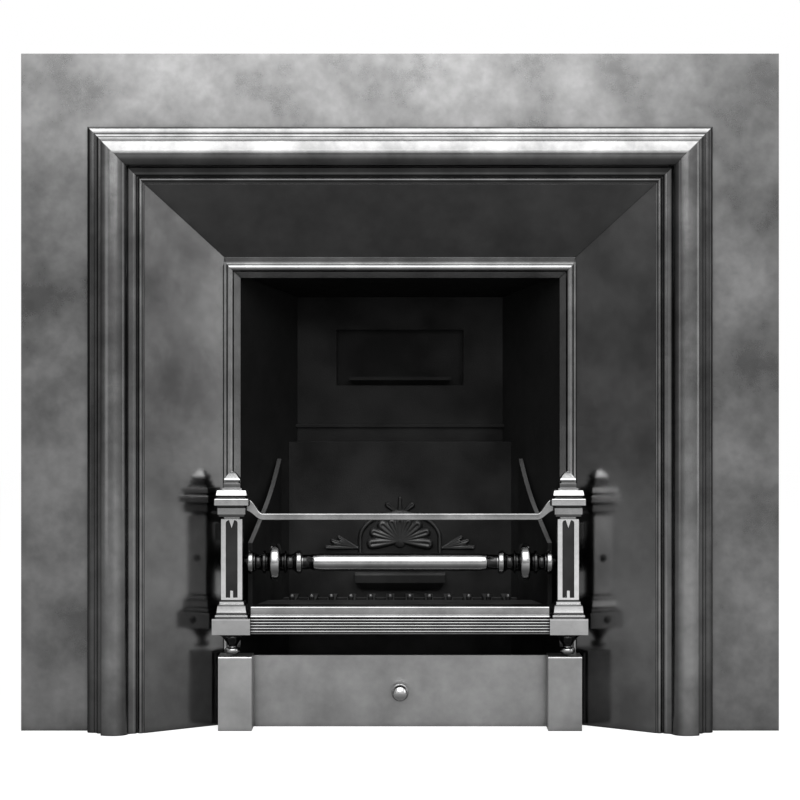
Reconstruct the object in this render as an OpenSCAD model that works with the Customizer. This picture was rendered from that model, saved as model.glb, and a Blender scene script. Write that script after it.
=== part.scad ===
// Cast iron fireplace: a polished face plate with a bolection moulding and three splays, a firebox
// with a hanging damper, a loose grate, front bars that lift off their hooks, and an ash pan behind
// a cover. X runs to the right, Y towards the wall, Z up from the hearth. All lengths in millimetres.

/* [Face plate] */
// Width of the face plate
plate_w = 1080; // [1000:5:1200]
// Height of the face plate
plate_h = 965; // [930:5:1050]
// Thickness of the face plate
plate_t = 6; // [4:0.5:8]
// Depth of the turned-back rim, from the plate's front to the wall
rim_d = 16; // [12:1:24]
// Thickness of the rim
rim_t = 8; // [5:1:12]
// Height of the ribs on the plate's back
rib_h = 6; // [3:1:8]

/* [Moulding] */
// Width across the outer edges of the moulding
mould_span = 887; // [870:1:940]
// Height of the moulding's outer edge
mould_top = 859; // [840:1:900]
// Width of the moulding's face
mould_w = 82; // [76:1:90]
// Projection of the moulding's crown from the plate
mould_d = 43; // [38:1:50]

/* [Splays and trim] */
// How far the outer edge of the splays stands in front of the plate
splay_proud = 20; // [16:1:22]
// How far the inner edge of the splays lies behind the plate's front
splay_depth = 51; // [45:1:65]
// Width of a side splay, seen from the front
splay_w = 106; // [98:1:112]
// Height of the head splay, seen from the front
splay_h = 98; // [90:1:106]
// Thickness of the splays, front to back
splay_t = 7; // [5:0.5:9]
// Width of the side trims
trim_w = 23; // [22:0.5:26]
// Height of the head trim
trim_h = 30; // [26:0.5:34]
// Depth of the trims
trim_d = 12; // [11:1:16]
// Radius of the bead on the trims
trim_bead_r = 5.5; // [4:0.5:6]

/* [Firebox] */
// Depth of the firebox behind the trims
firebox_d = 137; // [130:1:170]
// How much each firebox side draws in from front to back
firebox_taper = 65; // [55:1:70]
// Thickness of the firebox plates
wall_t = 6; // [4:0.5:8]
// Height of the lower fireback
fireback_h = 407; // [400:1:430]
// Thickness of the lower fireback
fireback_t = 8; // [6:1:10]
// How far the upper back is set behind the lower one
back_step = 25; // [22:1:35]
// How much the hood plate falls from front to back
hood_fall = 25; // [15:1:28]
// Width of the ledge under the shell ornament
ledge_w = 138; // [110:1:150]
// Projection of the ledge
ledge_d = 16; // [12:1:20]
// Radius of the shell ornament's ring
shell_r = 61; // [50:1:64]

/* [Fire bed] */
// Height of the fire bed's floor
floor_z = 177; // [175:1:185]
// Number of grate bars
bar_count = 12; // [8:1:12]
// Spacing of the grate bars
bar_pitch = 29; // [25:0.5:29]
// Width of a grate bar
bar_w = 12; // [9:1:14]
// Depth of the grate casting, top to bottom
grate_t = 14; // [10:1:14]
// Length of the grate, front to back
grate_l = 96; // [86:1:100]
// Thickness of the fire cheeks
cheek_t = 7; // [5:0.5:8]
// Height of the cheeks above the fire bed at the back
cheek_rise = 206; // [170:1:210]

/* [Damper] */
// Width of the flue opening
flue_w = 196; // [180:1:220]
// Height of the flue opening
flue_h = 86; // [76:1:90]
// Height of the flue opening's lower edge above the hearth
flue_z = 494; // [480:1:500]
// Depth of the stop frame behind the upper back
stop_d = 10; // [9:1:14]
// Thickness of the damper flap
flap_t = 6; // [4:0.5:8]
// Radius of the damper's hinge pin
hinge_r = 4; // [3:0.5:4]

/* [Front bars] */
// Width of the post plinths
plinth_w = 54; // [50:1:56]
// Width of the post shafts
shaft_w = 30; // [28:1:32]
// Height of the plinths' underside
bars_z = 139; // [136:1:142]
// Height of the post shafts
shaft_h = 116; // [110:1:130]
// Depth of the recess in the post fronts
recess_d = 3; // [1.5:0.5:4]
// Height of the middle rail's axis above the plinths' underside
mid_rail_up = 101; // [98:1:106]
// Radius of the middle rail's plain stretch
rod_r = 13.2; // [12:0.1:14]
// Radius of the middle rail's balls
ball_r = 26.8; // [24:0.1:28]
// Height of the top bar's section
top_bar_h = 9.5; // [8:0.5:12]
// Depth of the top bar's section
top_bar_d = 10; // [8:0.5:14]
// Number of reeds on the bottom rail
reed_count = 5; // [4:1:6]
// Height of one reed
reed_pitch = 4.1; // [3.8:0.1:4.6]
// Width of the hooks behind the posts
hook_w = 9; // [7:0.5:10]

/* [Ash pan cover] */
// Height of the cover plate
cover_h = 103; // [95:1:104]
// Thickness of the cover plate
cover_t = 5; // [4:0.5:7]
// Width of the end blocks
block_w = 48; // [44:1:52]
// Height of the end blocks
block_h = 106.5; // [105:0.5:107]
// Depth of the end blocks
block_d = 38; // [34:1:42]
// Radius of the knob
knob_r = 12.5; // [10:0.5:14]

/* [Ash pan] */
// Width of the ash pan
pan_w = 280; // [240:1:300]
// Length of the ash pan, front to back
pan_l = 124; // [110:1:130]
// Height of the ash pan
pan_h = 60; // [50:1:75]
// Thickness of the pan's sheet
pan_t = 2; // [1:0.5:3]

/* [Fits] */
// Gap between a piece and the seat it rests on
seat_gap = 0.3; // [0.2:0.1:0.5]
// Radial clearance of the damper's hinge
hinge_gap = 0.05; // [0.02:0.01:0.1]
// Radius of the wall-screw holes in the cleats
wall_hole_r = 4.5; // [3.5:0.5:6]
// Radius of the studs that hold mouldings, clips and cleats
stud_r = 4; // [3:0.5:5]

/* [Hidden] */
$fn = 64;

iron = [0.55, 0.56, 0.57];
polished = [0.62, 0.63, 0.64];
sooty = [0.16, 0.16, 0.17];
steel = [0.4, 0.4, 0.42];

// Depths, measured from the plate's front, add up to the whole depth, and the origin is its middle.
upper_back_y = splay_depth + trim_d + firebox_d + back_step;
flap_front = wall_t + stop_d + seat_gap;
whole_d = mould_d + upper_back_y + flap_front + flap_t;
front_y = mould_d - whole_d / 2;
wall_y = front_y + rim_d;
plate_back_y = front_y + plate_t;
splay_out_y = front_y - splay_proud;
splay_in_y = front_y + splay_depth;
trim_back_y = splay_in_y + trim_d;
fireback_y = trim_back_y + firebox_d;
upper_y = front_y + upper_back_y;

// Half-widths and heights of the nested frames, from outside in.
mould_out_x = mould_span / 2;
mould_in_x = mould_out_x - mould_w;
mould_in_z = mould_top - mould_w;
splay_in_x = mould_in_x - splay_w;
splay_in_z = mould_in_z - splay_h;
opening_x = splay_in_x - trim_w;
opening_z = splay_in_z - trim_h;
trim_return = 9;
trim_flat_w = trim_w - 2 * trim_bead_r - trim_return;
trim_flat_h = trim_h - 2 * trim_bead_r - trim_return;

// Firebox sides in plan.
wall_front_x = opening_x + 3.5;
hood_front_z = opening_z + 6;
function wall_x(y) = wall_front_x - firebox_taper * (y - trim_back_y) / firebox_d;

// Front bars.
post_x = opening_x + 6.5;
post_y = front_y + 5;
plinth_h = 23;
shaft_z = bars_z + 47;
necking_z = shaft_z + shaft_h + 6;
cap_z = necking_z + 11;
rail_back_y = post_y + 9;
mid_rail_z = bars_z + mid_rail_up;
top_bar_z = necking_z - 8;

// Fire bed in plan: the floor's sides run in a straight line from the bars to the fireback.
apron_y = rail_back_y + 1;
floor_front_x = opening_x - 23;
floor_back_x = wall_x(fireback_y) - 3;
function floor_x(y) = floor_front_x
    + (floor_back_x - floor_front_x) * (y - apron_y) / (fireback_y - apron_y);
grate_back_y = fireback_y - ledge_d - 1.5;
grate_y = grate_back_y - grate_l;
bearer_top = floor_z - grate_t - seat_gap;
bearer_t = 8;
bearer_y = post_y + plinth_w / 2 + 2;
cheek_y = front_y + 40;
cheek_back_y = fireback_y - 40;

// Ash pit.
cover_y = front_y + 33;
block_x = post_x - 4;
cover_z = 0.3;
runner_t = 4;
runner_w = 6;
pan_y = front_y + 62;
runner_x = pan_w / 2 + 4;

// Damper hinge.
flap_y = upper_y + flap_front;
flap_edge = 6;
knuckle_r = hinge_r + 3;
hinge_y = flap_y - 2.3;
hinge_z = flue_z + flue_h + flap_edge + knuckle_r + 1;
ear_x = flue_w / 2 - 6;
ear_t = 8;

nut_h = 7;
nut_r = stud_r * 1.85;
rib_t = 6;
eps = 0.01;
far = 2000;

// A stretch of an elliptic arc as points.
function arc(cx, cy, rx, ry, a0, a1, n) =
    [for (i = [0:n]) let (a = a0 + (a1 - a0) * i / n) [cx + rx * cos(a), cy + ry * sin(a)]];

// Eases from 0 to 1.
function ease(t) = t * t * (3 - 2 * t);

// Extrudes front-view points (x, z) from y0 back to y1.
module front_prism(points, y0, y1) {
    translate([0, y1, 0]) rotate([90, 0, 0]) linear_extrude(y1 - y0) polygon(points);
}

// Extrudes side-view points (y, z) from x0 to x1.
module side_prism(points, x0, x1) {
    translate([x0, 0, 0]) rotate([90, 0, 90]) linear_extrude(x1 - x0) polygon(points);
}

// A box from its low corner to its high corner.
module block(low, high) {
    translate(low) cube(high - low);
}

// A cylinder along Y, from y0 to y1.
module rod_y(x, y0, y1, z, r) {
    translate([x, y1, z]) rotate([90, 0, 0]) cylinder(r = r, h = y1 - y0);
}

// A square-section turned form: the same (half-width, z) profile seen from the front and the side.
module square_turned(profile, x, y) {
    outline = concat(profile, [for (i = [len(profile) - 1:-1:0]) [-profile[i][0], profile[i][1]]]);
    side = profile[0][0] * 4;
    translate([x, y, 0]) intersection() {
        front_prism(outline, -side, side);
        side_prism(outline, -side, side);
    }
}

module mirror_x(flip) {
    if (flip) mirror([1, 0, 0]) children();
    else children();
}

// --- Face plate -----------------------------------------------------------------------------

stud_inset = 34;
stud_x = mould_out_x - stud_inset;
stud_head_z = mould_top - stud_inset;
stud_heights = [mould_in_z * 0.12, mould_in_z * 0.5, mould_in_z * 0.88];
clip_heights = [mould_in_z * 0.25, mould_in_z * 0.75];
clip_bolt_x = mould_in_x + 24;
clip_bolt_z = mould_in_z + 24;
head_clips = [-mould_in_x * 0.6, 0, mould_in_x * 0.6];
cleat_heights = [plate_h * 0.28, plate_h * 0.72];
cleat_rim_gap = 16.25;
cleat_foot = 44;
cleat_x = plate_w / 2 - rim_t - cleat_rim_gap - cleat_foot;
cleat_l = 44;
cleat_h = 40;
cleat_t = 6;
cleat_bolt_x = cleat_x + 27;
wall_hole_y = plate_back_y + cleat_l - 14;

// Stud positions, as [x, z]. Those under the moulding pass through the plate, and the cleats'
// studs stand on its back.
moulding_studs = concat([for (s = [-1, 1], z = stud_heights) [s * stud_x, z]],
    [for (x = head_clips) [x, stud_head_z]]);
clip_studs = concat([for (s = [-1, 1], z = clip_heights) [s * clip_bolt_x, z]],
    [for (x = head_clips) [x, clip_bolt_z]]);
cleat_studs = [for (s = [-1, 1], z = cleat_heights) [s * cleat_bolt_x, z]];

module face_plate() {
    w = plate_w / 2;
    color(iron) difference() {
        union() {
            front_prism([[-w, 0], [w, 0], [w, plate_h], [-w, plate_h]], front_y, plate_back_y);
            for (s = [-1, 1]) {
                x = s > 0 ? w - rim_t : -w;
                block([x, front_y + eps, 0], [x + rim_t, wall_y, plate_h]);
            }
            block([-w, front_y + eps, plate_h - rim_t], [w, wall_y, plate_h]);
            for (z = [plate_h * 0.18, plate_h * 0.5, plate_h * 0.82], s = [-1, 1]) {
                x = s > 0 ? cleat_x + cleat_foot + 2 : -w + eps;
                x1 = s > 0 ? w - eps : -cleat_x - cleat_foot - 2;
                block([x, plate_back_y - eps, z], [x1, plate_back_y + rib_h, z + rib_t]);
            }
        }
        front_prism([[-mould_in_x, -eps], [mould_in_x, -eps], [mould_in_x, mould_in_z],
            [-mould_in_x, mould_in_z]], front_y - 1, wall_y + 1);
        for (p = concat(moulding_studs, clip_studs))
            rod_y(p[0], front_y - 1, plate_back_y + 1, p[1], stud_r + 0.5);
    }
}

// --- Moulding -------------------------------------------------------------------------------

// The moulding's section as [distance in from the outer edge, projection], drawn for a face
// 82 wide and 43 deep, whose inner edge meets the splay 20 in front of the plate: a small ovolo,
// a large one, a quirk, the broad crown with its long fall, a fillet, a flat band and the inner
// lip, with the hollow back last.
drawn_w = 82;
drawn_d = 43;
drawn_lip = 20;
mould_section = concat(
    [[0, 0]],
    arc(8, 12, 8, 6, 180, 90, 6),
    [[10.6, 18], [11, 20.5]],
    arc(30, 20.5, 19, 15.5, 180, 92, 12),
    [[30.3, 33.8], [31.5, 33.8]],
    arc(40.5, 34, 9, 9, 178, 90, 8),
    arc(40.5, 29, 13.4, 14, 80, 45, 5),
    [[55.5, 33.6], [61, 28.6], [64.4, 27.2], [64.8, 24], [66.2, 24]],
    [[66.4, 27.2], [72.6, 25.8], [73.4, 25], [73.4, 20.6], [75, 20.6]],
    arc(78.2, 20.6, 3.2, 3.2, 150, 10, 7),
    [[81.6, 20], [82, 20]],
    [[82, 0], [76, 0], [76, 12], [70, 17], [60, 20], [53, 26.5], [46, 33], [40, 34], [33, 28],
        [27, 26], [16, 16], [9, 11], [6, 0]]
);
function projection(v) = v <= drawn_lip ? v * splay_proud / drawn_lip
    : splay_proud + (v - drawn_lip) * (mould_d - splay_proud) / (drawn_d - drawn_lip);
function sized(p) = [p[0] * mould_w / drawn_w, projection(p[1])];
mould_points = [for (p = mould_section) sized(p)];
boss_r = 9;
boss_top = projection(30.5);

module moulding_side(flip) {
    outer = [[mould_out_x + 1, -eps], [mould_out_x + 1, mould_top + 1 + eps],
        [mould_in_x - eps, mould_in_z - eps], [mould_in_x - eps, -eps]];
    color(polished) mirror_x(flip) {
        intersection() {
            linear_extrude(mould_top) polygon([for (p = mould_points) [mould_out_x - p[0], front_y - p[1]]]);
            front_prism(outer, front_y - mould_d - 1, front_y + 1);
        }
        for (z = stud_heights) rod_y(stud_x, front_y - boss_top, front_y, z, boss_r);
    }
}

module moulding_left() {
    moulding_side(true);
}

module moulding_right() {
    moulding_side(false);
}

module moulding_head() {
    x = mould_out_x;
    outer = [[-x - 1, mould_top + 1], [x + 1, mould_top + 1], [mould_in_x, mould_in_z - eps],
        [-mould_in_x, mould_in_z - eps]];
    color(polished) {
        intersection() {
            side_prism([for (p = mould_points) [front_y - p[1], mould_top - p[0]]], -x, x);
            front_prism(outer, front_y - mould_d - 1, front_y + 1);
        }
        for (hx = head_clips) rod_y(hx, front_y - boss_top, front_y, stud_head_z, boss_r);
    }
}

// --- Splays ---------------------------------------------------------------------------------

module splay_side(flip) {
    color(polished) mirror_x(flip) intersection() {
        linear_extrude(mould_in_z) polygon([[mould_in_x, splay_out_y], [splay_in_x, splay_in_y],
            [splay_in_x, splay_in_y + splay_t], [mould_in_x, splay_out_y + splay_t]]);
        front_prism([[mould_in_x, 0], [mould_in_x, mould_in_z], [splay_in_x, splay_in_z],
            [splay_in_x, 0]], splay_out_y - 1, trim_back_y);
    }
}

module splay_left() {
    splay_side(true);
}

module splay_right() {
    splay_side(false);
}

module splay_head() {
    color(polished) intersection() {
        side_prism([[splay_out_y, mould_in_z], [splay_in_y, splay_in_z],
            [splay_in_y + splay_t, splay_in_z], [splay_out_y + splay_t, mould_in_z]],
            -mould_in_x, mould_in_x);
        front_prism([[-mould_in_x, mould_in_z], [mould_in_x, mould_in_z], [splay_in_x, splay_in_z],
            [-splay_in_x, splay_in_z]], splay_out_y - 1, trim_back_y);
    }
}

// Bent clips between the plate's back and the backs of the splays.
clip_t = 5;
clip_w = 40;
clip_lap = 34;

// Clip section: along the plate's back, then down the slope of a splay of this width.
function clip_section(edge, width) = let (
    slope = (splay_depth + splay_proud) / width,
    reach = (plate_t + splay_proud - splay_t) / slope,
    side = clip_t * sqrt(1 + slope * slope)
) [
    [edge + clip_lap, plate_back_y], [edge - reach, plate_back_y],
    [edge - reach - clip_lap, plate_back_y + clip_lap * slope],
    [edge - reach - clip_lap, plate_back_y + clip_lap * slope + side],
    [edge - reach - (clip_t - side) / slope, plate_back_y + clip_t],
    [edge + clip_lap, plate_back_y + clip_t]
];

module splay_clips() {
    side_points = clip_section(mould_in_x, splay_w);
    head_points = [for (p = clip_section(mould_in_z, splay_h)) [p[1], p[0]]];
    color(steel) {
        for (flip = [false, true], z = clip_heights) mirror_x(flip) difference() {
            translate([0, 0, z - clip_w / 2]) linear_extrude(clip_w) polygon(side_points);
            rod_y(clip_bolt_x, plate_back_y - 1, plate_back_y + 9, z, stud_r + 0.5);
        }
        for (x = head_clips) difference() {
            side_prism(head_points, x - clip_w / 2, x + clip_w / 2);
            rod_y(x, plate_back_y - 1, plate_back_y + 9, clip_bolt_z, stud_r + 0.5);
        }
    }
}

// A stud that starts at y0 and holds what lies on the plate's back with a nut at y1.
module plate_stud(x, z, y0, y1) {
    translate([x, y1 + nut_h, z]) rotate([90, 0, 0]) cylinder(r = nut_r, h = nut_h, $fn = 6);
    rod_y(x, y0, y1 + nut_h + 3, z, stud_r);
}

module plate_studs() {
    color(steel) {
        for (p = moulding_studs) plate_stud(p[0], p[1], front_y, plate_back_y);
        for (p = clip_studs) plate_stud(p[0], p[1], front_y, plate_back_y + clip_t);
        for (p = cleat_studs) plate_stud(p[0], p[1], plate_back_y, plate_back_y + cleat_t);
    }
}

// Angle cleats that reach back into the wall opening, each with a hole for a wall screw.
module fixing_cleats() {
    color(iron) for (flip = [false, true], z = cleat_heights) mirror_x(flip) difference() {
        union() {
            block([cleat_x, plate_back_y, z - cleat_h / 2],
                [cleat_x + cleat_foot, plate_back_y + cleat_t, z + cleat_h / 2]);
            block([cleat_x, plate_back_y, z - cleat_h / 2],
                [cleat_x + cleat_t, plate_back_y + cleat_l, z + cleat_h / 2]);
        }
        rod_y(cleat_bolt_x, plate_back_y - 1, plate_back_y + cleat_t + 1, z, stud_r + 0.5);
        translate([cleat_x - 1, wall_hole_y, z]) rotate([0, 90, 0])
            cylinder(r = wall_hole_r, h = cleat_t + 2);
    }
}

// --- Inner trim -----------------------------------------------------------------------------

// Trim section as [distance in from the splay, projection].
function trim_section(flat, width) = concat(
    [[0, 0]],
    arc(flat + trim_bead_r, 0, trim_bead_r, trim_bead_r, 180, 0, 14),
    [[flat + 2 * trim_bead_r, -1], [width, -trim_return], [width, -trim_d], [0, -trim_d]]
);
lug_z = shaft_z + 82;
lug_h = 24;
lug_x = opening_x + 11;
lug_w = hook_w + 2 * seat_gap + 6;
tongue_y = splay_in_y - 12.7;
tongue_t = 5;
tongue_drop = 14;

module trim_side(flip) {
    color(polished) mirror_x(flip) {
        intersection() {
            linear_extrude(splay_in_z) polygon([for (p = trim_section(trim_flat_w, trim_w))
                [splay_in_x - p[0], splay_in_y - p[1]]]);
            front_prism([[splay_in_x, 0], [splay_in_x, splay_in_z],
                [splay_in_x - trim_flat_w, splay_in_z - trim_flat_h], [opening_x, opening_z],
                [opening_x, 0]], splay_in_y - trim_bead_r - 1, trim_back_y + 1);
        }
        difference() {
            block([lug_x - lug_w / 2, tongue_y - 4, lug_z],
                [lug_x + lug_w / 2, splay_in_y + 2, lug_z + lug_h]);
            block([lug_x - hook_w / 2 - seat_gap, tongue_y - seat_gap, lug_z + lug_h - tongue_drop],
                [lug_x + hook_w / 2 + seat_gap, tongue_y + tongue_t + seat_gap, lug_z + lug_h + 1]);
        }
    }
}

module trim_left() {
    trim_side(true);
}

module trim_right() {
    trim_side(false);
}

module trim_head() {
    a = trim_flat_w;
    b = trim_flat_h;
    color(polished) intersection() {
        side_prism([for (p = trim_section(trim_flat_h, trim_h)) [splay_in_y - p[1], splay_in_z - p[0]]],
            -splay_in_x, splay_in_x);
        front_prism([[-splay_in_x, splay_in_z], [splay_in_x, splay_in_z], [splay_in_x - a, splay_in_z - b],
            [opening_x, opening_z], [-opening_x, opening_z], [-splay_in_x + a, splay_in_z - b]],
            splay_in_y - trim_bead_r - 1, trim_back_y + 1);
    }
}

// --- Firebox --------------------------------------------------------------------------------

firebox_back_y = upper_y + wall_t;
function hood_z(y) = hood_front_z - hood_fall * (y - trim_back_y) / (firebox_back_y - trim_back_y);

// Everything below the hood plate.
module under_hood() {
    side_prism([[trim_back_y, 0], [firebox_back_y, 0], [firebox_back_y, hood_z(firebox_back_y)],
        [trim_back_y, hood_front_z]], -far / 2, far / 2);
}

module firebox_side(flip) {
    x0 = wall_x(trim_back_y);
    x1 = wall_x(firebox_back_y);
    color(sooty) mirror_x(flip) intersection() {
        linear_extrude(hood_front_z) polygon([[x0, trim_back_y], [x1, firebox_back_y],
            [x1 + wall_t, firebox_back_y], [x0 + wall_t, trim_back_y]]);
        under_hood();
    }
}

module firebox_side_left() {
    firebox_side(true);
}

module firebox_side_right() {
    firebox_side(false);
}

// A plate across the firebox that fits between its sides, from y0 to y1.
module across(y0, y1, z0, z1) {
    translate([0, 0, z0]) linear_extrude(z1 - z0) polygon([[-wall_x(y0), y0], [wall_x(y0), y0],
        [wall_x(y1), y1], [-wall_x(y1), y1]]);
}

ledge_z = floor_z + 4;
ledge_h = 25;

module fireback() {
    w = ledge_w / 2;
    color(sooty) {
        across(fireback_y, fireback_y + fireback_t, 0, fireback_h);
        across(fireback_y + fireback_t, upper_y, fireback_h - wall_t, fireback_h);
        intersection() {
            side_prism([[fireback_y + 1, ledge_z], [fireback_y - ledge_d * 0.3, ledge_z],
                [fireback_y - ledge_d * 0.6, ledge_z + 5], [fireback_y - ledge_d, ledge_z + 11],
                [fireback_y - ledge_d, ledge_z + 23], [fireback_y - ledge_d + 2, ledge_z + ledge_h],
                [fireback_y + 1, ledge_z + ledge_h]], -w, w);
            front_prism([[-w + 12, ledge_z - 1], [w - 12, ledge_z - 1], [w - 3, ledge_z + 10],
                [w, ledge_z + 11], [w, ledge_z + ledge_h + 1], [-w, ledge_z + ledge_h + 1],
                [-w, ledge_z + 11], [-w + 3, ledge_z + 10]], fireback_y - ledge_d - 1, fireback_y + 2);
        }
    }
}

// One tapered lobe of the ornament, from a start point over a length at an angle.
module lobe(x, z, angle, from, to, r0, r1) {
    hull() {
        for (e = [[from, r0], [to, r1]])
            translate([x + e[0] * cos(angle), 0, z + e[0] * sin(angle)]) sphere(e[1], $fn = 12);
    }
}

// The ring's outline: upright sides and a flattened arch, at a distance inside its outer edge.
shell_side = 22;
shell_arch = 0.64;
function ring_outline(inset, foot) = let (r = shell_r + 4 - inset) concat(
    [[r, foot]], arc(0, shell_side, r, shell_r * shell_arch + 4 - inset, 0, 180, 24), [[-r, foot]]);

// The shell: lobes that fan out from a hub inside a raised ring, a leaf on top, sprays at the sides.
module shell_ornament() {
    cz = ledge_z + 56;
    hub = 18;
    top = shell_side + shell_r * shell_arch;
    color(sooty) translate([0, fireback_y, cz]) {
        for (step = [[0, 8, 3], [1.5, 6.5, 5]]) difference() {
            front_prism(ring_outline(step[0], -5), -step[2], 0);
            front_prism(ring_outline(step[1], -6), -step[2] - 1, 1);
        }
        intersection() {
            union() {
                for (i = [0:10]) {
                    a = 90 + (i - 5) * 20;
                    up = a < 0 || a > 180 ? 24 : top - hub;
                    long = 0.86 / sqrt(pow(cos(a) / shell_r, 2) + pow(sin(a) / up, 2));
                    lobe(0, hub, a, 9, long - 6, 2.5, i % 2 == 0 ? 6.5 : 5);
                }
                translate([0, 0, hub]) sphere(8, $fn = 16);
                lobe(0, top + 2, 90, 2, 22, 6, 2.5);
                for (s = [-1, 1]) {
                    lobe(s * 4, top, 90 - s * 50, 4, 20, 2.5, 5);
                    for (k = [0:2])
                        lobe(s * (shell_r + 2), 6, 90 - s * (62 + 14 * k), 6, 34 + 7 * k, 5, 3);
                }
            }
            block([-far / 2, -30, -5], [far / 2, 0, fireback_h]);
        }
    }
}

module upper_back() {
    w = flue_w / 2;
    e = flap_edge;
    z1 = flue_z + flue_h;
    lip_z = fireback_h + 22;
    color(sooty) difference() {
        union() {
            intersection() {
                across(upper_y, firebox_back_y, fireback_h - wall_t, hood_front_z);
                under_hood();
            }
            across(upper_y - 5, upper_y, lip_z, lip_z + 5);
            block([-w - e, upper_y + 1, flue_z - e], [w + e, firebox_back_y + stop_d, z1 + e]);
            for (s = [-1, 1]) translate([s * ear_x - ear_t / 2, 0, 0]) {
                side_prism([[upper_y + 1, hinge_z - knuckle_r], [hinge_y, hinge_z - knuckle_r],
                    [hinge_y, hinge_z + knuckle_r], [upper_y + 1, hinge_z + knuckle_r]], 0, ear_t);
                translate([0, hinge_y, hinge_z]) rotate([0, 90, 0]) cylinder(r = knuckle_r, h = ear_t);
            }
        }
        block([-w, upper_y - 1, flue_z], [w, firebox_back_y + stop_d + 1, z1]);
        translate([-w, hinge_y, hinge_z]) rotate([0, 90, 0])
            cylinder(r = hinge_r + hinge_gap, h = 2 * w);
    }
}

module hood_plate() {
    x0 = wall_x(trim_back_y) + wall_t;
    x1 = wall_x(firebox_back_y) + wall_t;
    color(sooty) intersection() {
        side_prism([[trim_back_y, hood_front_z], [firebox_back_y, hood_z(firebox_back_y)],
            [firebox_back_y, hood_z(firebox_back_y) + wall_t], [trim_back_y, hood_front_z + wall_t]],
            -x0, x0);
        translate([0, 0, opening_z - hood_fall]) linear_extrude(hood_fall + 60)
            polygon([[-x0, trim_back_y], [x0, trim_back_y], [x1, firebox_back_y], [-x1, firebox_back_y]]);
    }
}

// A fire cheek: an upright plate beside the fire whose top edge sweeps up to the back.
module cheek(flip) {
    x0 = floor_x(cheek_y) + 9.5;
    x1 = floor_x(cheek_back_y) + 2;
    length = cheek_back_y - cheek_y;
    front_rise = cheek_rise * 0.425;
    back_z = floor_z + cheek_rise;
    top = [for (i = [0:16]) let (t = i / 16, lift = 0.62 * t + 0.38 * t * t + 0.02 * sin(360 * t))
        [cheek_y + length * t, floor_z + front_rise + (cheek_rise - front_rise) * lift]];
    color(sooty) mirror_x(flip) intersection() {
        linear_extrude(back_z + 1) polygon([[x0, cheek_y], [x1, cheek_back_y],
            [x1 + cheek_t, cheek_back_y], [x0 + cheek_t, cheek_y]]);
        side_prism(concat([[cheek_back_y, bearer_top], [cheek_y, bearer_top]], top), 0, far / 2);
    }
}

module cheek_left() {
    cheek(true);
}

module cheek_right() {
    cheek(false);
}

module grate_bearers() {
    color(sooty) for (flip = [false, true]) mirror_x(flip)
        translate([0, 0, bearer_top - bearer_t]) linear_extrude(bearer_t) polygon([
            [floor_x(bearer_y) - 12, bearer_y], [opening_x - 1, bearer_y], [opening_x - 1, trim_back_y],
            [wall_x(trim_back_y), trim_back_y], [wall_x(fireback_y), fireback_y],
            [floor_x(fireback_y) - 12, fireback_y]]);
}

// The fixed floor between the front bars and the grate, with ribs that stand on the bearers.
module fire_apron() {
    y1 = grate_y - 1.5;
    color(sooty) {
        translate([0, 0, floor_z - 6]) linear_extrude(6) polygon([[-floor_x(apron_y), apron_y],
            [floor_x(apron_y), apron_y], [floor_x(y1), y1], [-floor_x(y1), y1]]);
        for (flip = [false, true]) mirror_x(flip)
            translate([0, 0, bearer_top]) linear_extrude(floor_z - 6 - bearer_top + eps) polygon([
                [floor_x(bearer_y) - 8, bearer_y], [floor_x(bearer_y), bearer_y], [floor_x(y1), y1],
                [floor_x(y1) - 8, y1]]);
    }
}

// The loose grate: bars with upturned round noses on two cross bars that rest on the bearers.
module bottom_grate() {
    z0 = floor_z - grate_t;
    first = -(bar_count - 1) * bar_pitch / 2;
    color(sooty) {
        for (i = [0:bar_count - 1]) {
            x = first + i * bar_pitch;
            block([x - bar_w / 2, grate_y + bar_w / 2, z0 + 3],
                [x + bar_w / 2, grate_back_y, floor_z - 1]);
            translate([x, grate_y + bar_w / 2, z0 + 3]) cylinder(r = bar_w / 2, h = grate_t - 4);
            translate([x, grate_y + bar_w / 2, floor_z - 2]) cylinder(r = bar_w / 3, h = 7);
            translate([x, grate_y + bar_w / 2, floor_z + 5]) sphere(bar_w / 3);
        }
        for (y = [grate_y + 14, grate_back_y - 24])
            translate([0, 0, z0]) linear_extrude(grate_t - 5) polygon([[-floor_x(y), y],
                [floor_x(y), y], [floor_x(y + 12), y + 12], [-floor_x(y + 12), y + 12]]);
    }
}

// --- Damper ---------------------------------------------------------------------------------

module damper_pin() {
    w = ear_x + ear_t / 2 + 3;
    color(steel) translate([-w, hinge_y, hinge_z]) rotate([0, 90, 0]) cylinder(r = hinge_r, h = 2 * w);
}

module damper_flap() {
    w = flue_w / 2 + flap_edge;
    top = flue_z + flue_h + flap_edge - 1;
    lip_w = flue_w * 0.4;
    color(sooty) difference() {
        union() {
            block([-w, flap_y, flue_z - flap_edge], [w, flap_y + flap_t, top]);
            block([-lip_w, upper_y - 12, flue_z + 8], [lip_w, flap_y + 1, flue_z + 13]);
            for (s = [-1, 1]) translate([s * (ear_x - 24) - 15, 0, 0]) {
                block([0, flap_y, top - 1], [30, flap_y + flap_t - 1, hinge_z]);
                translate([0, hinge_y, hinge_z]) rotate([0, 90, 0]) cylinder(r = knuckle_r, h = 30);
            }
        }
        translate([-w, hinge_y, hinge_z]) rotate([0, 90, 0])
            cylinder(r = hinge_r + hinge_gap, h = 2 * w);
    }
}

// --- Front bars -----------------------------------------------------------------------------

p2 = plinth_w / 2;
s2 = shaft_w / 2;

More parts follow.
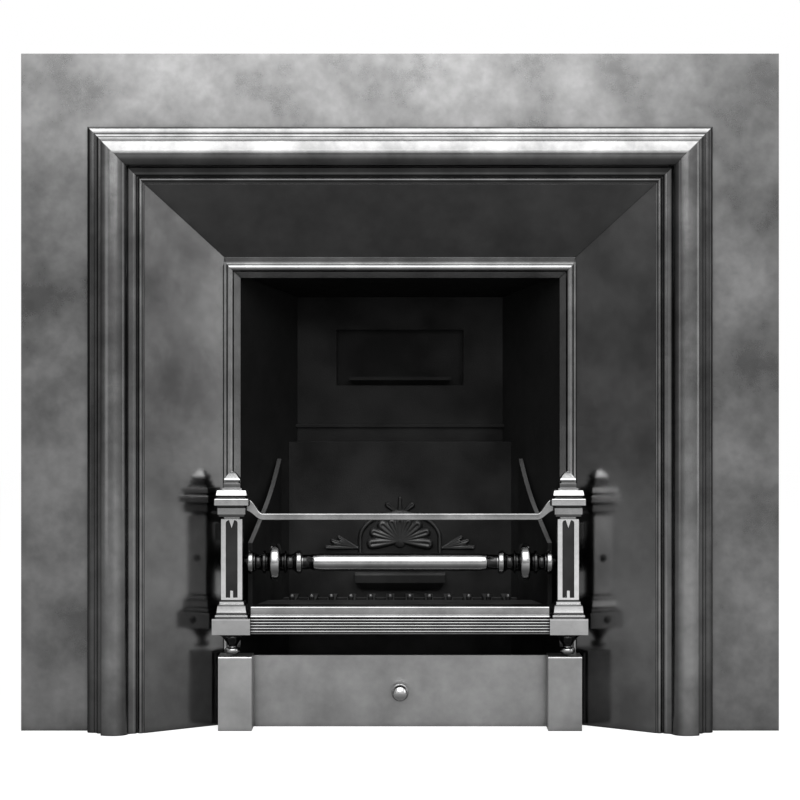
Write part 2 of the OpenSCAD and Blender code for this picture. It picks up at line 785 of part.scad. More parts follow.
// Post profile, as [half-width, height]: plinth, fillets, base block, shaft and necking.
post_profile = [
    [p2, bars_z], [p2, bars_z + plinth_h], [p2 - 2, bars_z + plinth_h + 0.8],
    [p2 - 4.2, bars_z + plinth_h + 0.8], [p2 - 4.2, bars_z + 27.2], [p2 - 5.6, bars_z + 27.8],
    [p2 - 5.6, bars_z + 30], [p2 - 6.2, bars_z + 31], [p2 - 7.4, bars_z + 41.2], [p2 - 9.4, bars_z + 42],
    [p2 - 9.4, bars_z + 42.8], [s2 + 2, bars_z + 43], [s2 + 2, bars_z + 46.2],
    [s2, bars_z + 46.6], [s2, shaft_z + shaft_h], [s2 - 4, shaft_z + shaft_h + 0.4],
    [s2 - 4, necking_z - 2.6], [s2 + 3, necking_z - 2], [s2 + 3, necking_z + 0.6],
    [s2 + 4.6, necking_z + 1], [s2 + 4.6, cap_z - 0.6], [s2 + 3, cap_z]
];

// Outline of the sunk panel in a post's front: round notches and a cusp above, a stud below.
module recess_outline() {
    w = 8.4;
    top = shaft_h - 5.6;
    foot = 4.4;
    difference() {
        union() {
            translate([-w, foot]) square([2 * w, top - foot]);
            for (s = [-1, 1]) translate([s * w / 2, top]) circle(w / 2);
        }
        polygon([[-3.5, top + 4], [0, top - 7], [3.5, top + 4]]);
        translate([-2, 0]) square([4, foot + 10]);
    }
}

module post(side) {
    front = post_y - s2;
    color(polished) difference() {
        square_turned(post_profile, side * post_x, post_y);
        translate([side * post_x, front + recess_d, shaft_z]) rotate([90, 0, 0])
            linear_extrude(recess_d + 1) recess_outline();
    }
}

module post_left() {
    post(-1);
}

module post_right() {
    post(1);
}

// Finial: abacus, chamfered member, neck and a small square cap that rounds up to a point.
abacus_r = s2 + 9;
abacus_z = cap_z + 2.8;
module finial(side) {
    z = cap_z;
    a = abacus_r;
    color(polished) square_turned([
        [a - 6, z], [a - 6, z + 2.6], [a, abacus_z], [a, z + 11.7], [a - 1.2, z + 13], [a - 5, z + 13.4],
        [a - 5, z + 16.4], [a - 2, z + 16.8], [a - 3.4, z + 24], [a - 8.6, z + 24.8], [a - 9.6, z + 25],
        [a - 9.6, z + 27], [a - 12, z + 27.6], [a - 12, z + 33.6], [a - 14.4, z + 34.2],
        [a - 14.4, z + 37], [a - 12.6, z + 37.6], [a - 12.8, z + 40], [a - 15.4, z + 43.4],
        [a - 18.2, z + 47.2], [a - 20.8, z + 49.6], [a - 23, z + 50.4]
    ], side * post_x, post_y);
}

module finial_left() {
    finial(-1);
}

module finial_right() {
    finial(1);
}

// Turned foot under a plinth: an ogee that narrows to a flat button.
button_z = 109.5;
module pendant(side) {
    h = bars_z - button_z;
    r = p2 - 4;
    color(polished) translate([side * post_x, post_y, button_z]) rotate_extrude() polygon(concat(
        [[0, 0], [8, 0]],
        arc(8, 4.5, 3.2, 4.5, -90, 90, 10),
        [[6, 9.4], [6, 11]],
        [for (i = [1:10]) let (t = i / 10) [6 + (r - 6) * pow(t, 1.7), 11 + (h - 13) * ease(t)]],
        [[r, h], [0, h]]
    ));
}

module pendant_left() {
    pendant(-1);
}

module pendant_right() {
    pendant(1);
}

// Top bar: level between the posts, its ends swept up under the abacus of each finial.
module top_bar() {
    end_x = post_x - s2 - 4.6;
    abacus_x = post_x - abacus_r;
    sweep = 23;
    start = end_x - sweep;
    low_rise = 13;
    high_rise = 19.5;
    low = [for (i = [0:10]) let (t = i / 10) [start + sweep * t, top_bar_z + low_rise * ease(t)]];
    high = [for (i = [10:-1:0]) let (t = i / 10)
        [start + (abacus_x - start) * t, top_bar_z + top_bar_h + high_rise * ease(t)]];
    right = concat(low, [[end_x, abacus_z - 0.2], [abacus_x, abacus_z - 0.2]], high);
    left = [for (i = [len(right) - 1:-1:0]) [-right[i][0], right[i][1]]];
    color(polished) front_prism(concat(right, left), post_y - top_bar_d / 2, post_y + top_bar_d / 2);
}

// A barrel on a turned bar: nearly flat on top, its shoulders rounded off.
function barrel(centre, half, low, high) = [for (i = [0:14]) let (a = 180 - 180 * i / 14)
    [centre + half * sign(cos(a)) * pow(abs(cos(a)), 0.6), low + (high - low) * pow(abs(sin(a)), 0.6)]];

// Middle rail: a turned bar. Its profile is [distance in from the post's face, radius].
module middle_rail() {
    half = post_x - s2;
    k = ball_r;
    end = concat(
        [[0, 0], [0, 8], [2, 8], [2, 10.5], [6, 10.5]],
        barrel(11.3, 4.3, 10.5, 17),
        arc(22.8, 17.5, 6.4, 6.5, 200, 340, 10),
        [[29.4, 16.6], [32.6, 16.6], [33, 13], [37.4, 13]],
        barrel(46.2, 8, 13, k),
        [[55, 13], [59.2, 13], [59.6, 16.4], [61.6, 16.4]],
        arc(68.5, 17.5, 6.7, 6.5, 200, 340, 10),
        barrel(80.1, 4.5, 10.6, 17),
        [[86, 10.6], [99, 10.6], [99, 11.4], [110, rod_r]]
    );
    right = [for (p = end) [p[1], half - p[0]]];
    left = [for (i = [len(right) - 1:-1:0]) [right[i][0], -right[i][1]]];
    color(polished) translate([0, post_y, mid_rail_z]) rotate([0, 90, 0])
        rotate_extrude() polygon(concat(right, left));
}

// Bottom rail: reeds, a bead and a plain band with a rounded top edge, between the plinths.
module bottom_rail() {
    x = post_x - p2;
    face = post_y - 17;
    z0 = bars_z;
    reeds = [for (i = [0:reed_count - 1])
        each arc(face + 1.6, z0 + 1.5 + reed_pitch * (i + 0.5), 2, reed_pitch / 2 - 0.15, 270, 90, 7)];
    top = z0 + 1.5 + reed_pitch * reed_count;
    crest = top + 18;
    color(polished) side_prism(concat(
        [[rail_back_y, z0], [face + 1.6, z0]], reeds,
        arc(face + 2.2, top + 2.6, 3, 2.4, 270, 90, 8),
        [[face + 4, top + 5.2], [face + 4.6, top + 15], [face + 5.2, top + 16.2],
            [face + 6.6, top + 16.8], [face + 13, crest], [rail_back_y, crest]]
    ), -x, x);
}

// Hooks that drop into the slots of the trim's lugs.
hook_above = 12;
hook_h = 11.5;
module hooks() {
    z1 = lug_z + lug_h + hook_above;
    z0 = lug_z + lug_h - tongue_drop + seat_gap;
    color(iron) for (s = [-1, 1]) {
        x = s * lug_x - hook_w / 2;
        block([x, post_y + s2, z1 - hook_h], [x + hook_w, tongue_y + tongue_t, z1]);
        block([x, tongue_y, z0], [x + hook_w, tongue_y + tongue_t, z1 - 1]);
    }
}

// Round-head screws through the plinth sides and shafts that hold the rails.
module bar_screws() {
    color(steel) for (s = [-1, 1], p = [[p2, bars_z + 12], [s2, mid_rail_z]])
        translate([s * (post_x + p[0]), post_y, p[1]]) rotate([0, s * 90, 0]) intersection() {
            translate([0, 0, -5.5]) sphere(8);
            cylinder(r = 6, h = 4);
        }
}

// --- Ash pan cover --------------------------------------------------------------------------

block_out_x = block_x + block_w / 2;
block_in_x = block_x - block_w / 2;

module cover_plate() {
    w = block_out_x - 4;
    color(iron) difference() {
        block([-w, cover_y, cover_z], [w, cover_y + cover_t, cover_h]);
        rod_y(0, cover_y - 1, cover_y + cover_t + 1, cover_h / 2, 3.3);
        for (s = [-1, 1], z = [cover_h * 0.25, cover_h * 0.75])
            rod_y(s * block_x, cover_y - 1, cover_y + cover_t + 1, z, 3.3);
    }
}

// Hollow end block with a rounded top edge, screwed to the plate from behind.
module cover_block(flip) {
    y0 = cover_y - block_d;
    w = 5;
    r = 3;
    color(polished) mirror_x(flip) {
        difference() {
            side_prism(concat([[cover_y, cover_z], [y0, cover_z]],
                arc(y0 + r, block_h - r, r, r, 180, 90, 6), [[cover_y, block_h]]),
                block_in_x, block_out_x);
            block([block_in_x + w, y0 + w, cover_z - 1], [block_out_x - w, cover_y + 1, block_h - w]);
        }
        for (z = [cover_h * 0.25, cover_h * 0.75]) difference() {
            rod_y(block_x, y0 + 2, cover_y, z, 7);
            rod_y(block_x, cover_y - 16, cover_y + 1, z, 3);
        }
    }
}

module cover_block_left() {
    cover_block(true);
}

module cover_block_right() {
    cover_block(false);
}

module cover_knob() {
    neck = knob_r * 0.45;
    color(polished) translate([0, cover_y, cover_h / 2]) rotate([90, 0, 0]) difference() {
        rotate_extrude() polygon(concat(
            [[0, 0], [knob_r * 0.72, 0], [knob_r * 0.72, 1.5], [neck, 3], [neck, 5.5]],
            arc(0, 4 + knob_r * 0.92, knob_r, knob_r * 0.92, -62, 90, 18)
        ));
        translate([0, 0, -1]) cylinder(r = 3, h = 13);
    }
}

module cover_screw(x, z) {
    back = cover_y + cover_t;
    rod_y(x, cover_y - 10, back + 1, z, 2.9);
    rod_y(x, back, back + 3, z, 6);
}

module cover_screws() {
    color(steel) {
        cover_screw(0, cover_h / 2);
        for (s = [-1, 1], z = [cover_h * 0.25, cover_h * 0.75]) cover_screw(s * block_x, z);
    }
}

// Flat tongues behind the cover that slide along the outside of the pan runners.
guide_x = runner_x + runner_w + seat_gap;
guide_t = 5;
guide_l = 50;
guide_z = [3, 19];

module cover_tongues() {
    color(iron) for (s = [-1, 1]) {
        x = s > 0 ? guide_x : -guide_x - guide_t;
        block([x, cover_y + cover_t, guide_z[0]], [x + guide_t, cover_y + cover_t + guide_l, guide_z[1]]);
    }
}

// --- Ash pan --------------------------------------------------------------------------------

module pan_runners() {
    color(iron) for (s = [-1, 1]) {
        x = s > 0 ? runner_x : -runner_x - runner_w;
        foot = s > 0 ? runner_x - 16 : -runner_x - runner_w;
        block([x, cover_y + cover_t + 4, 0], [x + runner_w, fireback_y, 22]);
        block([foot, cover_y + cover_t + 4, 0], [foot + 16 + runner_w, fireback_y, runner_t]);
    }
}

module ash_pan() {
    w = pan_w / 2;
    z0 = runner_t + seat_gap;
    color(steel) {
        difference() {
            block([-w, pan_y, z0], [w, pan_y + pan_l, z0 + pan_h]);
            block([-w + pan_t, pan_y + pan_t, z0 + pan_t],
                [w - pan_t, pan_y + pan_l - pan_t, z0 + pan_h + 1]);
        }
        difference() {
            block([-w - 3, pan_y - 3, z0 + pan_h - pan_t], [w + 3, pan_y + pan_l + 3, z0 + pan_h]);
            block([-w + pan_t, pan_y + pan_t, z0], [w - pan_t, pan_y + pan_l - pan_t, z0 + pan_h + 1]);
        }
    }
}

module pan_handle() {
    z = runner_t + seat_gap + pan_h * 0.55;
    color(steel) translate([0, pan_y, z]) {
        for (s = [-1, 1]) rotate([90, 0, 0]) translate([s * 40, 0, 0]) {
            cylinder(r = 3, h = 10);
            cylinder(r = 8, h = 2);
        }
        for (s = [-1, 1]) translate([s * 37, -10, 0]) rotate([0, 0, s > 0 ? -90 : 180])
            rotate_extrude(angle = 90) translate([3 + 0.01, 0]) circle(3);
        translate([-37, -13, 0]) rotate([0, 90, 0]) cylinder(r = 3, h = 74);
    }
}

face_plate();
moulding_left();
moulding_right();
moulding_head();
splay_left();
splay_right();
splay_head();
splay_clips();
trim_left();
trim_right();
trim_head();
plate_studs();
fixing_cleats();
firebox_side_left();
firebox_side_right();
fireback();
shell_ornament();
upper_back();
hood_plate();
cheek_left();
cheek_right();
grate_bearers();
fire_apron();
pan_runners();
damper_pin();
damper_flap();
bottom_grate();
post_left();
post_right();
finial_left();
finial_right();
pendant_left();
pendant_right();
top_bar();
middle_rail();
bottom_rail();
hooks();
bar_screws();
cover_plate();
cover_block_left();
cover_block_right();
cover_knob();
cover_screws();
cover_tongues();
ash_pan();
pan_handle();
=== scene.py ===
import math
import bpy
import numpy as np
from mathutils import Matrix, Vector


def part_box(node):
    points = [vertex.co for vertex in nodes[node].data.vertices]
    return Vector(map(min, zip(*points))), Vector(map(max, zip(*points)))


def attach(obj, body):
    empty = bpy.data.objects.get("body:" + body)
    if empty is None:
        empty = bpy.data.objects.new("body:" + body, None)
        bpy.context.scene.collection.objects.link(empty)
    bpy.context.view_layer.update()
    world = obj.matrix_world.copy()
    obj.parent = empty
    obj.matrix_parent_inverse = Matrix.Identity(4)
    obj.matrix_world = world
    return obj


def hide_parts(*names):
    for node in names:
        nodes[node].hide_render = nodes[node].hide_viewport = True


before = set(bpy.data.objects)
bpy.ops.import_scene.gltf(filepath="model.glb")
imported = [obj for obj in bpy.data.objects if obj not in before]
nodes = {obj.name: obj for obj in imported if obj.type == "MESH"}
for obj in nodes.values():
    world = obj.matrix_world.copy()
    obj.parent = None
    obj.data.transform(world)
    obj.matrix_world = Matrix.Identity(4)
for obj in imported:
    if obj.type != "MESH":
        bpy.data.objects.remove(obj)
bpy.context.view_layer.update()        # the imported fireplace, in metres, standing on z = 0


# sRGB hex to the linear colour that the shaders work in
def linear(hexCode):
    parts = [int(hexCode[i:i + 2], 16) / 255 for i in (1, 3, 5)]
    return [p / 12.92 if p <= 0.04045 else ((p + 0.055) / 1.055) ** 2.4 for p in parts] + [1.0]


# texture scale for a feature of this many millimetres, where the coordinates are metres
def perMetre(sizeMm):
    return 1000 / sizeMm


# adds one node: a setting is a socket's value or a property, a link is socket = source socket
def addNode(tree, kind, settings=None, links=None):
    node = tree.nodes.new(kind)
    for key, value in (settings or {}).items():
        if key == "stops":
            ramp = node.color_ramp
            while len(ramp.elements) < len(value):
                ramp.elements.new(1.0)
            for element, (place, level) in zip(ramp.elements, value):
                element.position = place
                element.color = (level, level, level, 1.0)
        elif isinstance(key, int) or key in node.inputs:
            node.inputs[key].default_value = value
        else:
            setattr(node, key, value)
    for key, source in (links or {}).items():
        tree.links.new(source, node.inputs[key])
    return node


# shares of a tone along one axis: stops are (place in metres, share), and the ramp spans just these
def shareAlong(tree, source, stops):
    low, high = stops[0][0], stops[-1][0]
    along = addNode(tree, "ShaderNodeMapRange", {1: low, 2: high}, {0: source})
    scaled = [((place - low) / (high - low), share) for place, share in stops]
    return addNode(tree, "ShaderNodeValToRGB", {"stops": scaled}, {0: along.outputs[0]})


evenTone = [(0.0, 1.0), (1.0, 1.0)]    # stops for a tone that stays the same


def newMaterial(name):
    material = bpy.data.materials.new(name)
    material.use_nodes = True
    material.node_tree.nodes.clear()
    return material, material.node_tree


# camera: straight in front and about half way up the plate, as in the photograph
cameraSet = {
    "lens": 82.1,            # mm on a 36 mm sensor
    "distance": 2.6,         # m in front of the face plate
    "height": 0.4713,        # m above the hearth
}


def addCamera():
    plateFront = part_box("face_plate")[0].y
    data = bpy.data.cameras.new("camera")
    data.lens = cameraSet["lens"]
    data.sensor_width = 36
    data.clip_end = 60
    camera = bpy.data.objects.new("camera", data)
    camera.location = (0, plateFront - cameraSet["distance"], cameraSet["height"])
    camera.rotation_euler = (math.radians(90), 0, 0)
    bpy.context.scene.collection.objects.link(camera)
    bpy.context.scene.camera = camera


addCamera()
bpy.context.scene.view_settings.view_transform = "Standard"
print("camera placed")

# floor, daylight and lamps
floorSet = {
    "half": 9.0,             # m
    "tone": "#a8a8a8",
    "rough": 0.9,
    "glow": 0.76,            # added for the camera, so that the pale floor reads as white
    "mirrorShare": (0.098, 0.9),   # share of that glow which the polished iron shows, near and far off
    "mirrorReach": (0.3, 1.6),     # m from the middle of the hearth, for these two
    "left": 0.4,             # part of that share kept on the far left
    "leftReach": (-1.5, 0.5),      # m across, where only that part is kept, and where all of it is
}


def addFloor():
    half = floorSet["half"]
    mesh = bpy.data.meshes.new("floor")
    corners = [(-half, -half, 0), (half, -half, 0), (half, half, 0), (-half, half, 0)]
    mesh.from_pydata(corners, [], [(0, 1, 2, 3)])
    floor = bpy.data.objects.new("floor", mesh)
    bpy.context.scene.collection.objects.link(floor)
    material, tree = newMaterial("pale_floor_paint")
    path = addNode(tree, "ShaderNodeLightPath")
    seen = addNode(tree, "ShaderNodeMath", {"operation": "MAXIMUM"},
                   {0: path.outputs["Is Camera Ray"], 1: path.outputs["Is Transmission Ray"]})
    place = addNode(tree, "ShaderNodeTexCoord")
    away = addNode(tree, "ShaderNodeVectorMath", {"operation": "LENGTH"}, {0: place.outputs["Object"]})
    share = addNode(tree, "ShaderNodeMapRange", {
        1: floorSet["mirrorReach"][0], 2: floorSet["mirrorReach"][1],
        3: floorSet["mirrorShare"][0], 4: floorSet["mirrorShare"][1]}, {0: away.outputs["Value"]})
    axes = addNode(tree, "ShaderNodeSeparateXYZ", links={0: place.outputs["Object"]})
    side = addNode(tree, "ShaderNodeMapRange", {
        1: floorSet["leftReach"][0], 2: floorSet["leftReach"][1], 3: floorSet["left"], 4: 1.0},
        {0: axes.outputs["X"]})
    sided = addNode(tree, "ShaderNodeMath", {"operation": "MULTIPLY"},
                    {0: share.outputs[0], 1: side.outputs[0]})
    mirrored = addNode(tree, "ShaderNodeMath", {"operation": "MULTIPLY"},
                       {0: path.outputs["Is Glossy Ray"], 1: sided.outputs[0]})
    shown = addNode(tree, "ShaderNodeMath", {"operation": "MAXIMUM"},
                    {0: seen.outputs[0], 1: mirrored.outputs[0]})
    glow = addNode(tree, "ShaderNodeMath", {"operation": "MULTIPLY", 1: floorSet["glow"]},
                   {0: shown.outputs[0]})
    shader = addNode(tree, "ShaderNodeBsdfPrincipled", {
        "Base Color": linear(floorSet["tone"]), "Roughness": floorSet["rough"],
        "Emission Color": (1, 1, 1, 1)}, {"Emission Strength": glow.outputs[0]})
    addNode(tree, "ShaderNodeOutputMaterial", links={"Surface": shader.outputs[0]})
    mesh.materials.append(material)


skySet = {
    # a plain room: darker low down and straight up, brightest in front above eye level; place on the
    # scale is 0 down, 1 up
    "rise": [(0.0, 0.2), (0.35, 0.35), (0.47, 0.5), (0.53, 0.62), (0.6, 1.0), (0.92, 1.0), (0.97, 0.6),
             (1.0, 0.5)],
    "left": 0.38,            # share of that on the far left, in front and on the far right
    "front": 1.0,
    "right": 0.95,
    "beside": 0.35,          # share of it beside and behind the object
    "besideReach": (-0.3, 0.15),   # where that sets in, from -1 in front to 1 behind
    "back": 1.0,             # the white backdrop, as the camera and raised mirrors see it
    "backReach": (0.0, 0.3),       # where mirrors begin to see it, on the same scale
    "backRise": (0.2, 0.45),       # and how far up they look, from 0 level to 1 straight up
}


def addSky():
    world = bpy.data.worlds.new("studio")
    world.use_nodes = True
    tree = world.node_tree
    tree.nodes.clear()
    place = addNode(tree, "ShaderNodeTexCoord")
    axes = addNode(tree, "ShaderNodeSeparateXYZ", links={0: place.outputs["Generated"]})
    height = addNode(tree, "ShaderNodeMapRange", {1: -1.0, 2: 1.0}, {0: axes.outputs["Z"]})
    rise = addNode(tree, "ShaderNodeValToRGB", {"stops": skySet["rise"]}, {0: height.outputs[0]})
    across = addNode(tree, "ShaderNodeMapRange", {1: -1.0, 2: 1.0}, {0: axes.outputs["X"]})
    side = addNode(tree, "ShaderNodeValToRGB", {"stops": [
        (0.0, skySet["left"]), (0.5, skySet["front"]), (1.0, skySet["right"])]}, {0: across.outputs[0]})
    ahead = addNode(tree, "ShaderNodeMapRange", {
        1: skySet["besideReach"][0], 2: skySet["besideReach"][1], 3: 1.0, 4: skySet["beside"]},
        {0: axes.outputs["Y"]})
    tone = addNode(tree, "ShaderNodeMath", {"operation": "MULTIPLY"},
                   {0: rise.outputs[0], 1: side.outputs[0]})
    toned = addNode(tree, "ShaderNodeMath", {"operation": "MULTIPLY"},
                    {0: tone.outputs[0], 1: ahead.outputs[0]})
    behind = addNode(tree, "ShaderNodeMapRange", {1: skySet["backReach"][0], 2: skySet["backReach"][1]},
                     {0: axes.outputs["Y"]})
    raised = addNode(tree, "ShaderNodeMapRange", {1: skySet["backRise"][0], 2: skySet["backRise"][1]},
                     {0: axes.outputs["Z"]})
    backdrop = addNode(tree, "ShaderNodeMath", {"operation": "MULTIPLY"},
                       {0: behind.outputs[0], 1: raised.outputs[0]})
    path = addNode(tree, "ShaderNodeLightPath")
    mirrored = addNode(tree, "ShaderNodeMath", {"operation": "MULTIPLY"},
                       {0: path.outputs["Is Glossy Ray"], 1: backdrop.outputs[0]})
    seen = addNode(tree, "ShaderNodeMath", {"operation": "MAXIMUM"},
                   {0: path.outputs["Is Camera Ray"], 1: path.outputs["Is Transmission Ray"]})
    shown = addNode(tree, "ShaderNodeMath", {"operation": "MAXIMUM"},
                    {0: seen.outputs[0], 1: mirrored.outputs[0]})
    level = addNode(tree, "ShaderNodeMix", {"data_type": "FLOAT", "B": skySet["back"]},
                    {"Factor": shown.outputs[0], "A": toned.outputs[0]})
    light = addNode(tree, "ShaderNodeBackground", {"Color": (1, 1, 1, 1)},
                    {"Strength": level.outputs[0]})
    addNode(tree, "ShaderNodeOutputWorld", links={"Surface": light.outputs[0]})
    bpy.context.scene.world = world


lampSet = {
    # place and aim in metres, width, height, and brightness as a mirror shows it
    "topSoftbox": ((0.0, -2.0, 2.3), (0, 0, 0.6), 3.2, 2.0, 3.2),
    "frontSoftbox": ((-0.3, -4.2, 1.76), (0, 0, 0.7), 3.4, 0.9, 1.4),
    "rightWindow": ((2.6, -1.3, 0.9), (0, 0, 0.45), 0.5, 1.6, 1.6),
    "leftWindow": ((-2.4, -2.9, 0.9), (0, 0, 0.45), 0.8, 2.2, 0.6),
}


def addLamps():
    for name, (place, aim, width, height, brightness) in lampSet.items():
        data = bpy.data.lights.new(name, "AREA")
        data.shape = "RECTANGLE"
        data.size = width
        data.size_y = height
        data.energy = brightness * width * height * math.pi
        lamp = bpy.data.objects.new(name, data)
        lamp.location = place
        lamp.rotation_euler = (Vector(aim) - Vector(place)).to_track_quat("-Z", "Y").to_euler()
        lamp.visible_camera = False
        bpy.context.scene.collection.objects.link(lamp)


addFloor()
addSky()
addLamps()
print("floor, sky and lamps placed")


# finishes, each from one of two materials and a look
polishSet = {
    "cloudBand": (0.35, 0.65),   # part of the noise between the dark and the light tone
    "patchBand": (0.3, 0.7),     # the same for the small patches and for the roughness
    "paintedTopLightTilt": 0.8,           # a face tilted up this far gets the full painted highlight
    "paintedUnderShadeTilt": -0.4,         # one tilted down this far gets the full painted shade
    "paintedSideShadeTilt": (0.15, 0.6),    # sideways, where painted shade sets in and is full
    "rearTilt": (0.25, 0.45),    # to the wall, where the rough casting sets in and is full
    "rearTone": 0.4,
    "rearRough": 0.6,
    "grainRough": 0.06,          # roughness that the grain adds
    "blackingAndShadeBand": (0.3, 0.9),    # open share of a hollow, from full black lead and painted shade to none
    "hollowSamples": 6,
    "waveDepth": 0.001,          # m
    "grainDepth": 0.0002,        # m, coarser than real polishing marks, so that it shows
}


# Cast iron, ground and polished with black lead: a grey metal mirror, clouded by handwork, with
# dark black lead and painted shade in the quirks, painted shade on undersides and sideways faces, and a
# painted highlight on faces that look up. Its tone also changes in painted bands of light and shade
# along the height and across, and what faces the wall is left as a rough casting.
def polishedIron(name, look):
    material, tree = newMaterial(name)
    place = addNode(tree, "ShaderNodeTexCoord")
    clouds = addNode(tree, "ShaderNodeTexNoise", {
        "Scale": perMetre(look["cloudMm"]), "Detail": 5.0, "Roughness": 0.55},
        {"Vector": place.outputs["Object"]})
    cloudRange = addNode(tree, "ShaderNodeMapRange", {
        1: polishSet["cloudBand"][0], 2: polishSet["cloudBand"][1]}, {0: clouds.outputs["Fac"]})
    patches = addNode(tree, "ShaderNodeTexNoise", {
        "Scale": perMetre(look["patchMm"]), "Detail": 3.0}, {"Vector": place.outputs["Object"]})
    patchRange = addNode(tree, "ShaderNodeMapRange", {
        1: polishSet["patchBand"][0], 2: polishSet["patchBand"][1],
        3: 1 - look["patch"], 4: 1 + look["patch"]}, {0: patches.outputs["Fac"]})
    fine = addNode(tree, "ShaderNodeTexNoise", {
        "Scale": perMetre(look["grainMm"]), "Detail": 3.0, "Roughness": 0.6},
        {"Vector": place.outputs["Object"]})
    tone = addNode(tree, "ShaderNodeMix", {
        "data_type": "RGBA", 6: linear(look["dark"]), 7: linear(look["light"])},
        {0: cloudRange.outputs[0]})
    axes = addNode(tree, "ShaderNodeSeparateXYZ", links={0: place.outputs["Object"]})
    # bands of painted light and shade along the height
    heights = shareAlong(tree, axes.outputs["Z"], look["heights"])
    facing = addNode(tree, "ShaderNodeSeparateXYZ", links={0: place.outputs["Normal"]})
    # a painted highlight on faces that look up
    paintedTopLight = addNode(tree, "ShaderNodeMapRange", {
        1: 0.0, 2: polishSet["paintedTopLightTilt"], 3: 1.0, 4: look["paintedTopLight"]}, {0: facing.outputs["Z"]})
    # painted shade on faces that look down
    under = addNode(tree, "ShaderNodeMapRange", {
        1: 0.0, 2: polishSet["paintedUnderShadeTilt"], 3: 1.0, 4: look["under"]}, {0: facing.outputs["Z"]})
    half = addNode(tree, "ShaderNodeMath", {"operation": "ABSOLUTE"}, {0: axes.outputs["X"]})
    # bands of painted light and shade across, from the middle
    across = shareAlong(tree, half.outputs[0], look.get("across", evenTone))
    # painted shade on faces that look sideways
    sideways = addNode(tree, "ShaderNodeMath", {"operation": "ABSOLUTE"}, {0: facing.outputs["X"]})
    paintedSideShade = addNode(tree, "ShaderNodeMapRange", {
        1: polishSet["paintedSideShadeTilt"][0], 2: polishSet["paintedSideShadeTilt"][1], 3: 1.0, 4: look.get("paintedSideShade", 1.0)},
        {0: sideways.outputs[0]})
    rough = addNode(tree, "ShaderNodeMapRange", {
        1: polishSet["patchBand"][0], 2: polishSet["patchBand"][1],
        3: look["rough"][0], 4: look["rough"][1]}, {0: clouds.outputs["Fac"]})
    rear = addNode(tree, "ShaderNodeMapRange", {
        1: polishSet["rearTilt"][0], 2: polishSet["rearTilt"][1]}, {0: facing.outputs["Y"]})
    rearTone = addNode(tree, "ShaderNodeMapRange", {3: 1.0, 4: polishSet["rearTone"]},
                       {0: rear.outputs[0]})
    # black lead left in the hollows, and painted shade there too: darker where ambient occlusion finds a
    # hollow
    hollow = addNode(tree, "ShaderNodeAmbientOcclusion", {
        "samples": polishSet["hollowSamples"], "Distance": look["hollowMm"] / 1000})
    blackingAndShadeRange = addNode(tree, "ShaderNodeMapRange", {
        1: polishSet["blackingAndShadeBand"][0], 2: polishSet["blackingAndShadeBand"][1], 3: look["hollow"], 4: 1.0},
        {0: hollow.outputs["AO"]})
    factors = [paintedTopLight, under, paintedSideShade, across, heights, patchRange, rearTone]
    for spot, radius, share in look.get("paintedLightSpots", []):
        away = addNode(tree, "ShaderNodeVectorMath", {"operation": "DISTANCE", 1: spot},
                       {0: place.outputs["Object"]})
        factors.append(addNode(tree, "ShaderNodeMapRange", {
            "interpolation_type": "SMOOTHSTEP", 1: 0.0, 2: radius, 3: share, 4: 1.0},
            {0: away.outputs["Value"]}))
    level = blackingAndShadeRange
    for factor in factors:
        level = addNode(tree, "ShaderNodeMath", {"operation": "MULTIPLY"},
                        {0: level.outputs[0], 1: factor.outputs[0]})
    toned = addNode(tree, "ShaderNodeVectorMath", {"operation": "SCALE"},
                    {0: tone.outputs[2], "Scale": level.outputs[0]})
    roughFine = addNode(tree, "ShaderNodeMath", {
        "operation": "MULTIPLY_ADD", 1: polishSet["grainRough"]},
        {0: fine.outputs["Fac"], 2: rough.outputs[0]})
    roughRear = addNode(tree, "ShaderNodeMix", {"data_type": "FLOAT", "B": polishSet["rearRough"]},
                        {"Factor": rear.outputs[0], "A": roughFine.outputs[0]})
    wave = addNode(tree, "ShaderNodeTexNoise", {"Scale": perMetre(look["waveMm"]), "Detail": 1.0},
                   {"Vector": place.outputs["Object"]})
    waveBump = addNode(tree, "ShaderNodeBump", {
        "Strength": look["wave"], "Distance": polishSet["waveDepth"]}, {"Height": wave.outputs["Fac"]})
    bump = addNode(tree, "ShaderNodeBump", {
        "Strength": look["grain"], "Distance": polishSet["grainDepth"]},
        {"Height": fine.outputs["Fac"], "Normal": waveBump.outputs[0]})
    shader = addNode(tree, "ShaderNodeBsdfPrincipled", {"Metallic": 1.0}, {
        "Base Color": toned.outputs[0], "Roughness": roughRear.outputs[0], "Normal": bump.outputs[0]})
    addNode(tree, "ShaderNodeOutputMaterial", links={"Surface": shader.outputs[0]})
    return material


# In these looks the shares of the tone at metres above the hearth and from the middle are bands of
# painted light and shade, the shares on faces that look up, down and sideways are a painted highlight
# and painted shade, the share in hollows is black lead left there and painted shade, and "patch" is how
# far the small patches differ. "cloudMm", "patchMm", "grainMm" and "waveMm" are the sizes of clouds,
# patches, polishing grain and waves in the metal.

# ground and burnished: a soft mirror with broad clouds, and a painted highlight along its top
plateLook = {"dark": "#686868", "light": "#8c8c8c", "cloudMm": 110, "grainMm": 1.6,
             "rough": (0.22, 0.32), "patchMm": 16, "patch": 0.1, "paintedTopLight": 1.3, "under": 0.6,
             "hollowMm": 8, "hollow": 0.5, "waveMm": 60, "wave": 0.1, "grain": 0.25,
             "heights": [(0.0, 0.8), (0.77, 0.74), (0.9, 1.0)],
             # patches of painted shade at the corners and a painted highlight near the top middle: place
             # in metres, radius and share of the tone
             "paintedLightSpots": [((0.52, -0.1, 0.96), 0.34, 0.58), ((-0.54, -0.1, 0.95), 0.22, 0.74),
                       ((0.06, -0.1, 0.93), 0.09, 1.25), ((-0.48, -0.1, 0.7), 0.2, 0.76)]}
